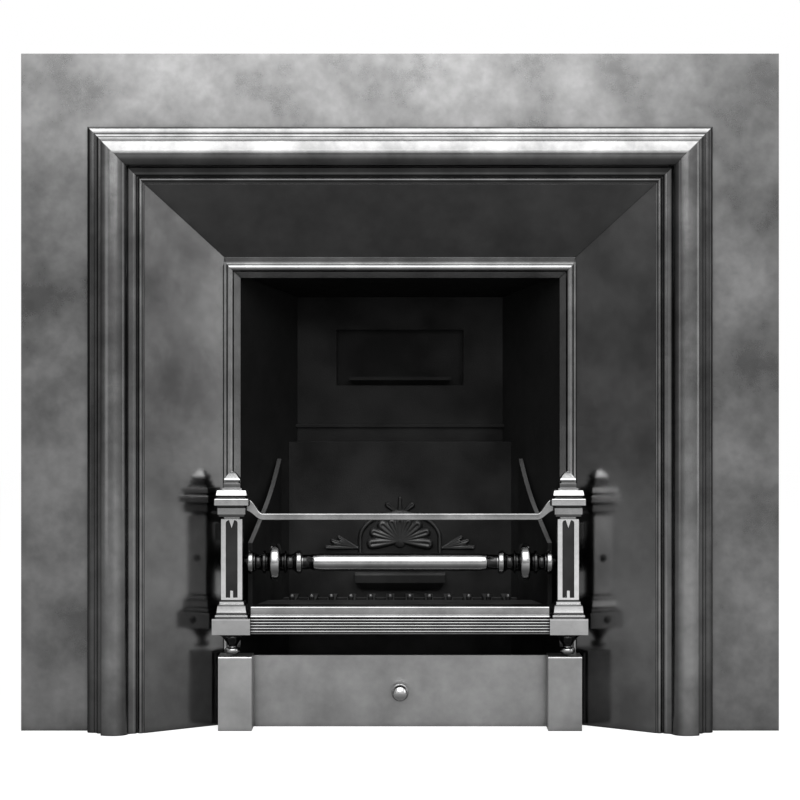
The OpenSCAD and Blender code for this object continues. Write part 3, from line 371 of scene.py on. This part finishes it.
# polished by hand along its length: sharp lines of light between quirks, which are dark with black lead
# and painted shade, and bands of painted shade by height on the head
mouldingLook = {"dark": "#6c6c6c", "light": "#868686", "cloudMm": 60, "grainMm": 1.2,
                "rough": (0.1, 0.17), "patchMm": 12, "patch": 0.06, "paintedTopLight": 1.7, "under": 0.35,
                "hollowMm": 6, "hollow": 0.6, "waveMm": 45, "wave": 0.05, "grain": 0.12,
                "paintedSideShade": 0.5,      # painted shade on the sides of its members
                "heights": [(0.7795, 0.75), (0.7805, 0.5), (0.799, 0.5), (0.8, 0.8), (0.811, 0.7),
                            (0.8145, 1.0)]}
# on the jambs the outer members get painted shade too
jambLook = dict(mouldingLook, heights=evenTone, across=[(0.418, 1.0), (0.421, 0.4)])
# a bright bead with painted shade on the fillet behind it
trimLook = dict(mouldingLook, dark="#848484", light="#9c9c9c", paintedSideShade=0.8,
                heights=[(0.6715, 1.0), (0.6725, 0.3)])
# polished to a mirror, which shows the posts and the other splays; painted shade makes it darker towards
# the bottom
splayLook = {"dark": "#606060", "light": "#747474", "cloudMm": 90, "grainMm": 1.6, "rough": (0.1, 0.18),
             "patchMm": 14, "patch": 0.05, "paintedTopLight": 1.3, "under": 0.4, "hollowMm": 10, "hollow": 0.4,
             "waveMm": 60, "wave": 0.07, "grain": 0.12,
             "heights": [(0.0, 0.88), (0.5, 0.92), (0.7, 1.0)]}
# the brightest iron, from years of rubbing, with painted shade on its undersides
barLook = {"dark": "#909090", "light": "#a6a6a6", "cloudMm": 40, "grainMm": 1.0, "rough": (0.09, 0.16),
           "patchMm": 8, "patch": 0.06, "paintedTopLight": 1.7, "under": 0.4, "hollowMm": 8, "hollow": 0.3,
           "waveMm": 30, "wave": 0.04, "grain": 0.12, "heights": evenTone}
# its reeds get painted shade, darker than the band above them
railLook = dict(barLook, dark="#949494", light="#a4a4a4", heights=[(0.16, 0.55), (0.161, 1.0)])
# bright all round, since hands touch it
knobLook = dict(barLook, dark="#b4b4b4", light="#c0c0c0", under=0.55)
# the turned rail keeps its full tone on its rod, balls and end collars, and gets painted shade in the
# coves between them
turnedLook = dict(barLook, across=[
    (0.1233, 1.0), (0.1255, 0.14), (0.1378, 0.1), (0.1394, 0.9), (0.1464, 0.9), (0.1482, 0.06),
    (0.1575, 0.14), (0.162, 0.06), (0.1655, 0.16), (0.1685, 0.06), (0.1702, 1.0), (0.1826, 1.0),
    (0.1842, 0.06), (0.1915, 0.1), (0.1935, 0.14), (0.197, 0.06), (0.201, 0.14), (0.206, 0.06),
    (0.2078, 0.9), (0.2138, 0.9)])
# bright faces on the posts and finials, with lines of painted shade between their members and painted
# shade on the members that sit in shade
postLook = dict(barLook, dark="#c4c4c4", light="#d2d2d2", heights=[
    (0.1592, 0.58), (0.161, 1.0), (0.1618, 0.08), (0.1636, 0.08), (0.1644, 1.0), (0.1664, 1.0),
    (0.167, 0.08), (0.1696, 0.08), (0.1704, 1.0), (0.1786, 0.8), (0.1794, 0.15), (0.181, 0.2),
    (0.1816, 1.0), (0.1846, 1.0), (0.1852, 0.06), (0.1872, 0.06), (0.1878, 1.0), (0.3042, 1.0),
    (0.305, 0.15), (0.3086, 0.15), (0.3092, 0.5), (0.318, 0.5), (0.3184, 0.08)])
finialLook = dict(postLook, heights=[
    (0.3214, 0.08), (0.322, 0.7), (0.3322, 0.8), (0.333, 0.1), (0.3356, 0.1), (0.3362, 1.0),
    (0.343, 1.0), (0.345, 0.25), (0.3565, 0.3), (0.3575, 1.0)])
# turned feet with bright buttons and painted shade on their necks
footLook = dict(barLook, heights=[
    (0.119, 0.9), (0.1205, 0.12), (0.133, 0.1), (0.134, 0.8), (0.136, 0.8), (0.137, 0.2)])
# ground but hardly polished: a satin grey that blurs what it mirrors
coverLook = {"dark": "#929292", "light": "#a4a4a4", "cloudMm": 80, "grainMm": 1.4,
             "rough": (0.28, 0.38), "patchMm": 14, "patch": 0.06, "paintedTopLight": 1.5, "under": 0.4,
             "hollowMm": 8, "hollow": 0.5, "waveMm": 60, "wave": 0.08, "grain": 0.2, "heights": evenTone}
# painted light: the left block is the cover's iron with a lighter tone than the cover and the right
# block
litBlockLook = dict(coverLook, dark="#a8a8a8", light="#b8b8b8")


sootSet = {
    "sootBand": (0.35, 0.65),    # part of the noise between the dark and the light tone
    "sootAndShadeHeights": (0.2, 0.45),  # m above the hearth, where soot and painted shade begin to thicken and are full
    "ashTilt": (0.25, 0.9),      # upward, where ash begins to lie and is full
    "sandDepth": 0.0006,         # m
}


# Sand-cast iron blacked by fire: dull, nearly black, with the grain of the sand, soot that lies
# thicker the higher it is in the firebox, where it also stands for painted shade, and pale ash on what
# faces up.
def sootedIron(name, look):
    material, tree = newMaterial(name)
    place = addNode(tree, "ShaderNodeTexCoord")
    sand = addNode(tree, "ShaderNodeTexNoise", {
        "Scale": perMetre(look["sandMm"]), "Detail": 4.0, "Roughness": 0.65},
        {"Vector": place.outputs["Object"]})
    soot = addNode(tree, "ShaderNodeTexNoise", {"Scale": perMetre(look["sootMm"]), "Detail": 5.0},
                   {"Vector": place.outputs["Object"]})
    sootRange = addNode(tree, "ShaderNodeMapRange", {
        1: sootSet["sootBand"][0], 2: sootSet["sootBand"][1]}, {0: soot.outputs["Fac"]})
    tone = addNode(tree, "ShaderNodeMix", {
        "data_type": "RGBA", 6: linear(look["dark"]), 7: linear(look["light"])},
        {0: sootRange.outputs[0]})
    axes = addNode(tree, "ShaderNodeSeparateXYZ", links={0: place.outputs["Object"]})
    fall = addNode(tree, "ShaderNodeMapRange", {
        1: sootSet["sootAndShadeHeights"][0], 2: sootSet["sootAndShadeHeights"][1], 3: 1.0, 4: look["sootAndShadeAbove"]},
        {0: axes.outputs["Z"]})
    facing = addNode(tree, "ShaderNodeSeparateXYZ", links={0: place.outputs["Normal"]})
    ash = addNode(tree, "ShaderNodeMapRange", {
        1: sootSet["ashTilt"][0], 2: sootSet["ashTilt"][1], 3: 1.0, 4: look["ash"]},
        {0: facing.outputs["Z"]})
    level = addNode(tree, "ShaderNodeMath", {"operation": "MULTIPLY"},
                    {0: fall.outputs[0], 1: ash.outputs[0]})
    toned = addNode(tree, "ShaderNodeVectorMath", {"operation": "SCALE"},
                    {0: tone.outputs[2], "Scale": level.outputs[0]})
    rough = addNode(tree, "ShaderNodeMapRange", {3: look["rough"][1], 4: look["rough"][0]},
                    {0: sootRange.outputs[0]})
    bump = addNode(tree, "ShaderNodeBump", {
        "Strength": look["grain"], "Distance": sootSet["sandDepth"]}, {"Height": sand.outputs["Fac"]})
    shader = addNode(tree, "ShaderNodeBsdfPrincipled", {
        "Metallic": look["metal"], "Specular IOR Level": look["gloss"]}, {
        "Base Color": toned.outputs[0], "Roughness": rough.outputs[0], "Normal": bump.outputs[0]})
    addNode(tree, "ShaderNodeOutputMaterial", links={"Surface": shader.outputs[0]})
    return material


# "ash" is how many times paler what faces up is, and the share of the tone higher up is soot and painted
# shade
# inside the fire: nearly black, without a shine
fireLook = {"dark": "#181818", "light": "#2a2a2a", "sandMm": 1.8, "sootMm": 90, "rough": (0.5, 0.75),
            "grain": 0.5, "metal": 0.35, "ash": 4.0, "sootAndShadeAbove": 0.15, "gloss": 0.2}
# the swept edges of the cheeks are pale with ash and a painted highlight
cheekLook = dict(fireLook, ash=12.0)
# the sides hold less soot and painted shade, so they stay a little greyer than the back
sideLook = dict(fireLook, sootAndShadeAbove=0.5)
# left as it came from the sand
rawLook = {"dark": "#3a3a3a", "light": "#565656", "sandMm": 1.6, "sootMm": 50, "rough": (0.5, 0.7),
           "grain": 0.6, "metal": 0.6, "ash": 1.0, "sootAndShadeAbove": 1.0, "gloss": 0.5}
# turned or folded steel, greyer and smoother than the castings
steelLook = {"dark": "#5a5a5a", "light": "#787878", "sandMm": 0.8, "sootMm": 12, "rough": (0.3, 0.45),
             "grain": 0.15, "metal": 1.0, "ash": 1.0, "sootAndShadeAbove": 1.0, "gloss": 0.5}
# the ornament catches some light on its flutes, and ash lies on them
reliefLook = {"dark": "#282828", "light": "#404040", "sandMm": 1.4, "sootMm": 40, "rough": (0.4, 0.5),
              "grain": 0.3, "metal": 0.8, "ash": 2.4, "sootAndShadeAbove": 1.0, "gloss": 0.5}
# black lead brushed into the posts' panels
leadLook = {"dark": "#2a2a2a", "light": "#343434", "sandMm": 1.6, "sootMm": 30, "rough": (0.4, 0.5),
            "grain": 0.25, "metal": 0.8, "ash": 1.0, "sootAndShadeAbove": 1.0, "gloss": 0.5}
# rubbed bright by the poker, and a painted highlight
tipLook = {"dark": "#5a5a5a", "light": "#6e6e6e", "sandMm": 1.0, "sootMm": 8, "rough": (0.3, 0.4),
           "grain": 0.1, "metal": 0.9, "ash": 1.2, "sootAndShadeAbove": 1.0, "gloss": 0.5}

finishes = {
    "burnishedPlate": polishedIron("ground_cast_iron_plate", plateLook),
    "polishedMoulding": polishedIron("polished_cast_iron_moulding", mouldingLook),
    "polishedJamb": polishedIron("polished_cast_iron_jamb", jambLook),
    "polishedTrim": polishedIron("bright_polished_cast_iron_bead", trimLook),
    "mirrorSplay": polishedIron("mirror_polished_cast_iron", splayLook),
    "brightBars": polishedIron("bright_polished_cast_iron", barLook),
    "polishedRail": polishedIron("polished_cast_iron_rail", railLook),
    "brightKnob": polishedIron("turned_and_polished_iron_knob", knobLook),
    "brightPosts": polishedIron("hand_polished_cast_iron_posts", postLook),
    "turnedRail": polishedIron("turned_and_polished_cast_iron_rail", turnedLook),
    "brightFinials": polishedIron("hand_polished_cast_iron_finials", finialLook),
    "paintedShadeFeet": polishedIron("turned_cast_iron_with_painted_shade", footLook),
    "groundCover": polishedIron("satin_ground_cast_iron", coverLook),
    "paintedLitBlock": polishedIron("satin_ground_cast_iron_block_painted_light", litBlockLook),
    "sootedIron": sootedIron("sooted_cast_iron", fireLook),
    "ashAndHighlightIron": sootedIron("sooted_cast_iron_with_ash_and_painted_highlight", cheekLook),
    "wornSides": sootedIron("sooted_cast_iron_side", sideLook),
    "rawIron": sootedIron("rough_cast_iron", rawLook),
    "turnedSteel": sootedIron("turned_steel", steelLook),
    "sootedRelief": sootedIron("carved_sooted_cast_iron", reliefLook),
    "blackLead": sootedIron("black_leaded_cast_iron", leadLook),
    "wornAndHighlightTips": sootedIron("worn_cast_iron_with_painted_highlight", tipLook),
}

# each node's finish and the rounding of its arrises in millimetres; the mouldings and the shell
# ornament are left out, because pieces made further on replace them
nodeFinish = [
    ("burnishedPlate", 0.8, ["face_plate"]),
    ("polishedTrim", 0.5, ["trim_left", "trim_right", "trim_head"]),
    ("mirrorSplay", 0.3, ["splay_left", "splay_right", "splay_head"]),
    ("turnedRail", 0.5, ["middle_rail"]),
    ("brightKnob", 0.5, ["cover_knob"]),
    ("brightBars", 1.8, ["top_bar"]),
    ("polishedRail", 0.6, ["bottom_rail"]),
    ("brightPosts", 0.5, ["post_left", "post_right"]),
    ("brightFinials", 0.5, ["finial_left", "finial_right"]),
    ("paintedShadeFeet", 0.5, ["pendant_left", "pendant_right"]),
    ("groundCover", 0.6, ["cover_plate", "cover_block_right"]),
    ("paintedLitBlock", 0.6, ["cover_block_left"]),
    ("wornSides", 0.8, ["firebox_side_left", "firebox_side_right"]),
    ("sootedIron", 0.8, ["fireback", "upper_back", "hood_plate", "grate_bearers", "fire_apron",
                         "damper_flap", "bottom_grate"]),
    ("ashAndHighlightIron", 0.8, ["cheek_left", "cheek_right"]),
    ("rawIron", 0.8, ["fixing_cleats", "pan_runners", "hooks", "cover_tongues"]),
    ("turnedSteel", 0.3, ["plate_studs", "splay_clips", "damper_pin", "bar_screws", "cover_screws",
                          "ash_pan", "pan_handle"]),
]
# round as they are drawn, so their arrises aren't rounded
finelyTurned = ["middle_rail", "pendant_left", "pendant_right", "cover_knob", "damper_pin",
                "bar_screws", "pan_handle"]
edgeSet = {
    "joinMm": 0.01,          # corners this close are one
    "flatDegrees": 0.2,      # faces within this are one
    "sharpDegrees": 32,      # arrises sharper than this are rounded
    "segments": 2,
}


# one node group that joins the split corners and turns smooth shading on
def smoothGroup():
    group = bpy.data.node_groups.new("joinAndSmooth", "GeometryNodeTree")
    group.interface.new_socket("Geometry", in_out="INPUT", socket_type="NodeSocketGeometry")
    group.interface.new_socket("Geometry", in_out="OUTPUT", socket_type="NodeSocketGeometry")
    start = addNode(group, "NodeGroupInput")
    joined = addNode(group, "GeometryNodeMergeByDistance", {"Distance": edgeSet["joinMm"] / 1000},
                     {"Geometry": start.outputs[0]})
    smooth = addNode(group, "GeometryNodeSetShadeSmooth", {"Shade Smooth": True},
                     {"Geometry": joined.outputs[0]})
    addNode(group, "NodeGroupOutput", links={0: smooth.outputs[0]})
    return group


# rounds the sharp arrises and shades the faces between them evenly
def roundArrises(shape, edgeMm):
    if edgeMm > 0:
        edge = shape.modifiers.new("arris", "BEVEL")
        edge.width = edgeMm / 1000
        edge.segments = edgeSet["segments"]
        edge.limit_method = "ANGLE"
        edge.angle_limit = math.radians(edgeSet["sharpDegrees"])
        edge.use_clamp_overlap = True
    shade = shape.modifiers.new("shade", "WEIGHTED_NORMAL")
    shade.keep_sharp = False


def dressNodes():
    group = smoothGroup()
    for finish, edgeMm, names in nodeFinish:
        for name in names:
            node = nodes[name]
            for slot in node.material_slots:
                slot.material = finishes[finish]
            node.modifiers.new("joinAndSmooth", "NODES").node_group = group
            flat = node.modifiers.new("flatten", "DECIMATE")
            flat.decimate_type = "DISSOLVE"
            flat.angle_limit = math.radians(edgeSet["flatDegrees"])
            roundArrises(node, 0 if name in finelyTurned else edgeMm)


dressNodes()
print("finishes on", sum(len(names) for finish, edgeMm, names in nodeFinish), "nodes")


# a mesh piece that rides on a body; corners in metres
def addPiece(name, corners, faces, finish, body, smooth=True):
    mesh = bpy.data.meshes.new(name)
    mesh.from_pydata([tuple(float(v) for v in corner) for corner in corners], [], faces)
    mesh.validate()
    mesh.materials.append(finishes[finish])
    for face in mesh.polygons:
        face.use_smooth = smooth
    piece = bpy.data.objects.new(name, mesh)
    bpy.context.scene.collection.objects.link(piece)
    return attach(piece, body)


# points on a stretch of an ellipse, for the moulding's section
def curve(centre, half, turn, count):
    angles = [math.radians(turn[0] + (turn[1] - turn[0]) * step / count) for step in range(count + 1)]
    return [(centre[0] + half[0] * math.cos(angle), centre[1] + half[1] * math.sin(angle))
            for angle in angles]


# the moulding's section runs up, across and down; its points are the distance in from the outer edge
# and the projection, in mm: ovolo, quirk, flat, small ovolo, the broad crown with its long fall,
# a sloping band, bead, quirk and lip, and then the hollow back
mouldingSet = {
    "members": [(0, 0)] + curve((8, 12), (8, 6), (180, 90), 8)
    + [(10.4, 18), (10.8, 17.4), (11.8, 17.4), (12, 18.5), (14.4, 18.8)]
    + curve((18.2, 19), (3.6, 4.2), (140, 88), 5) + [(22.4, 23.2), (22.9, 34.4)]
    + curve((40.6, 23), (28, 20), (129, 90), 14) + curve((40.8, 27), (19.6, 16), (88, 12), 18)
    + [(60.6, 27.6), (65.8, 24.6)] + curve((65.8, 22), (5, 2.6), (66, 0), 6)
    + [(71, 20), (72.6, 19), (73.2, 20.6)] + curve((76.2, 19.6), (3.4, 2.4), (104, 8), 7)
    + [(80, 19.8), (82, 18.8)]
    + [(82, 0), (76, 0), (76, 12), (70, 17), (60, 20), (53, 26.5), (46, 33), (40, 34), (33, 28),
       (27, 24), (16, 15), (9, 11), (6, 0)],
    "arrisMm": 0.25,         # rounding of its sharp arrises
}


def addMouldings():
    headLow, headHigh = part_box("moulding_head")
    section = [(u / 1000, v / 1000) for u, v in mouldingSet["members"]]
    count = len(section)
    for name in ("left", "right", "head"):
        ends = []
        for u, v in section:
            y, top = headHigh.y - v, headHigh.z - u
            left, right = headLow.x + u, headHigh.x - u
            ends.append({"left": ((left, y, 0), (left, y, top)),
                         "right": ((right, y, 0), (right, y, top)),
                         "head": ((left, y, top), (right, y, top))}[name])
        corners = [first for first, second in ends] + [second for first, second in ends]
        faces = [(i, (i + 1) % count, (i + 1) % count + count, i + count) for i in range(count)]
        faces += [tuple(range(count - 1, -1, -1)), tuple(range(count, 2 * count))]
        if name == "right":
            faces = [tuple(reversed(face)) for face in faces]
        finish = "polishedMoulding" if name == "head" else "polishedJamb"
        piece = addPiece("moulding_run_" + name, corners, faces, finish, "surround")
        roundArrises(piece, mouldingSet["arrisMm"])
        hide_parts("moulding_" + name)


addMouldings()
print("mouldings run")

# the shell ornament as it is carved: scallop, ring, leaves and sprays in one relief
shellSet = {
    "gridMm": 0.8,           # spacing of the relief's points
    "ring": (61, 22, 0.64),  # mm half-width, mm upright side, arch height as a share of the half-width
    "ringBead": (3.4, 4.6),  # mm half-width and rise of the ring's bead
    "hub": 18,               # mm from the ring's foot up to the scallop's hub
    "hubRadius": 11,         # mm
    "fan": 9,                # flutes of the scallop
    "fanStep": 24,           # degrees from flute to flute
    "fanShare": 0.86,        # of the way from the hub to the ring
    "lowReach": 24,          # mm down from the hub to where the lowest flutes would meet the ring
    "flute": (8, 8.6, 1.4),  # mm short of that, mm half-width, mm that every other one is narrower
    "fluteFoot": 2.5,        # mm half-width at the hub
    "groove": 0.35,          # depth of the groove along a flute or leaf, as a share of its height
    "grooveWidth": 0.28,     # as a share of its width
    "footRise": 0.45,        # height of a flute or leaf at its foot, as a share of that at its tip
    "rise": 7.2,             # mm, the highest rise from the fireback
    "hubRise": 0.5,          # of the hub and of the leaves, as shares of that
    "leafRise": 0.8,
    "footMm": 5,             # from the node's underside up to the ring's foot
    "leaf": (22, (5.5, 2.5)),      # mm reach, mm half-widths at its foot and tip
    # mm out from the middle, mm above the ring's top, degrees of lean, mm reach, mm half-widths
    "sideLeaves": [(4, 0, 50, 19, (2.2, 4.6)), (26, -9, 34, 9, (2.2, 3.2))],
    # mm outside the ring, mm up, degrees of lean and its step, mm reach and its step, mm half-widths
    "sprays": [(3, 7, (60, 14), (34, 7), (1.8, 3.4)), (10, 9, (68, 11), (22, 8), (1.2, 2.4))],
    "sprayTips": 3,
}


# height of a tapered lobe at the points x, z: round across, hollowed along its middle
def lobeHeight(x, z, start, angle, reach, widths, rise, groove):
    along, across = math.cos(math.radians(angle)), math.sin(math.radians(angle))
    share = np.clip(((x - start[0]) * along + (z - start[1]) * across) / reach, 0, 1)
    width = widths[0] + (widths[1] - widths[0]) * np.sin(share * math.pi / 2)
    off = np.hypot(x - start[0] - along * reach * share, z - start[1] - across * reach * share) / width
    hollow = 1 - groove * np.exp(-(off / shellSet["grooveWidth"]) ** 2) * share
    foot = shellSet["footRise"]
    return rise * (foot + (1 - foot) * share) * np.sqrt(np.clip(1 - off ** 2, 0, 1)) * hollow


def shellHeight(x, z):
    radius, side, share = shellSet["ring"]
    arch = radius * share
    hub, rise = shellSet["hub"], shellSet["rise"]
    upper = np.hypot(x / radius, np.maximum(z - side, 0) / arch)
    flatter = 1 - (1 - share) * np.clip((z - side) / arch, 0, 1)
    ringOff = np.where(z > side, (upper - 1) * radius * flatter, np.abs(x) - radius)
    bead = shellSet["ringBead"]
    height = bead[1] * np.sqrt(np.clip(1 - (ringOff / bead[0]) ** 2, 0, 1))
    hubOff = np.hypot(x, z - hub) / shellSet["hubRadius"]
    dome = np.sqrt(np.clip(1 - hubOff ** 2, 0, 1))
    height = np.maximum(height, shellSet["hubRise"] * rise * dome)
    short, wide, narrower = shellSet["flute"]
    groove = shellSet["groove"]
    for i in range(shellSet["fan"]):
        angle = 90 + (i - (shellSet["fan"] - 1) / 2) * shellSet["fanStep"]
        up = shellSet["lowReach"] if angle < 0 or angle > 180 else side + arch - hub
        turn = math.radians(angle)
        reach = shellSet["fanShare"] / math.hypot(math.cos(turn) / radius, math.sin(turn) / up)
        widths = (shellSet["fluteFoot"], wide - narrower * (i % 2))
        flute = lobeHeight(x, z, (0, hub), angle, reach - short, widths, rise, groove)
        height = np.maximum(height, flute)
    top = side + arch
    leaves = [((0, top + 1), 90, shellSet["leaf"][0], shellSet["leaf"][1])]
    for way in (-1, 1):
        for out, above, lean, reach, widths in shellSet["sideLeaves"]:
            leaves.append(((way * out, top + above), 90 - way * lean, reach, widths))
        for out, up, lean, reach, widths in shellSet["sprays"]:
            for tip in range(shellSet["sprayTips"]):
                leaves.append(((way * (radius + out), up), 90 - way * (lean[0] + lean[1] * tip),
                               reach[0] + reach[1] * tip, widths))
    for start, angle, reach, widths in leaves:
        leaf = lobeHeight(x, z, start, angle, reach, widths, shellSet["leafRise"] * rise, groove)
        height = np.maximum(height, leaf)
    return height


def addShell():
    low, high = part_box("shell_ornament")
    grid = shellSet["gridMm"]
    xs = np.arange(low.x * 1000, high.x * 1000 + grid, grid)
    zs = np.arange(0, (high.z - low.z) * 1000 + grid, grid)
    x, z = np.meshgrid(xs, zs)
    height = shellHeight(x, z - shellSet["footMm"])
    index = -np.ones(x.shape, int)
    corners, faces = [], []
    solid = height > 0
    near = solid.copy()
    near[1:], near[:-1] = near[1:] | solid[:-1], near[:-1] | solid[1:]
    near[:, 1:], near[:, :-1] = near[:, 1:] | solid[:, :-1], near[:, :-1] | solid[:, 1:]
    for row, column in zip(*np.nonzero(near)):
        index[row, column] = len(corners)
        corners.append((x[row, column] / 1000, high.y - height[row, column] / 1000,
                        low.z + z[row, column] / 1000))
    for row in range(len(zs) - 1):
        for column in range(len(xs) - 1):
            face = [index[row, column], index[row, column + 1], index[row + 1, column + 1],
                    index[row + 1, column]]
            if min(face) >= 0:
                faces.append(face)
    piece = addPiece("shell_relief", corners, faces, "sootedRelief", "surround")
    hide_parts("shell_ornament")


addShell()
print("shell ornament carved")

# black lead laid in the sunk panels of the posts
recessSet = {
    "halfMm": 8.3,           # half the panel's width
    "footMm": 4.6,           # above the shaft's foot
    "topMm": 110.2,          # below the two round notches
    "depthMm": 2.9,          # behind the post's face
    "shaftFootMm": 47,       # above the plinth's underside
    "shaftHalfMm": 15,
    "middleMm": 60,          # above the shaft's foot, where its faces meet
    "notchSteps": 8,
}


def addRecesses():
    for side in ("left", "right"):
        low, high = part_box("post_" + side)
        centre = (low.x + high.x) / 2
        foot = low.z + recessSet["shaftFootMm"] / 1000
        y = (low.y + high.y) / 2 - (recessSet["shaftHalfMm"] - recessSet["depthMm"]) / 1000
        half = recessSet["halfMm"]
        outline = [(-half, recessSet["footMm"]), (half, recessSet["footMm"])]
        for way in (1, -1):
            for step in range(recessSet["notchSteps"] + 1):
                turn = math.radians(180 * step / recessSet["notchSteps"])
                outline.append((way * half / 2 + half / 2 * math.cos(turn),
                                recessSet["topMm"] + half / 2 * math.sin(turn)))
        corners = [(centre + px / 1000, y, foot + pz / 1000) for px, pz in outline]
        middle = len(corners)
        corners.append((centre, y, foot + recessSet["middleMm"] / 1000))
        faces = [(middle, i, (i + 1) % middle) for i in range(middle)]
        addPiece("blacking_" + side, corners, faces, "blackLead", "front_bars", smooth=False)


addRecesses()

# nose tips of the grate, rubbed bright by the poker and given a painted highlight
noseSet = {
    "count": 12,
    "pitchMm": 29,
    "radiusMm": 4.15,
    "insetMm": 6,            # behind the grate's front edge
    "domeMm": 4,             # from the dome's springing up to its tip
    "rimMm": 1.2,            # of the shank below the dome
    "proudMm": 0.15,         # above the casting
    "sides": 16,
    "rings": 6,
}


def addNoses():
    low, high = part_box("bottom_grate")
    radius, sides = noseSet["radiusMm"] / 1000, noseSet["sides"]
    dome, proud = noseSet["domeMm"] / 1000, noseSet["proudMm"] / 1000
    corners, faces = [], []
    for i in range(noseSet["count"]):
        x = (i - (noseSet["count"] - 1) / 2) * noseSet["pitchMm"] / 1000
        y = low.y + noseSet["insetMm"] / 1000
        z = high.z - dome
        rings = [(radius, z - noseSet["rimMm"] / 1000)]
        for step in range(noseSet["rings"]):
            turn = math.radians(90 * step / noseSet["rings"])
            rings.append((radius * math.cos(turn), z + (dome + proud) * math.sin(turn)))
        first = len(corners)
        for ringRadius, ringZ in rings:
            for step in range(sides):
                turn = math.radians(360 * step / sides)
                corners.append((x + ringRadius * math.cos(turn), y + ringRadius * math.sin(turn), ringZ))
        corners.append((x, y, z + dome + proud))
        tip = len(corners) - 1
        for ring in range(len(rings) - 1):
            for step in range(sides):
                a = first + ring * sides + step
                b = first + ring * sides + (step + 1) % sides
                faces.append((a, b, b + sides, a + sides))
        last = first + (len(rings) - 1) * sides
        faces += [(last + step, last + (step + 1) % sides, tip) for step in range(sides)]
    addPiece("grate_nose_tips", corners, faces, "wornAndHighlightTips", "grate")


addNoses()
print("blacking and grate tips added")
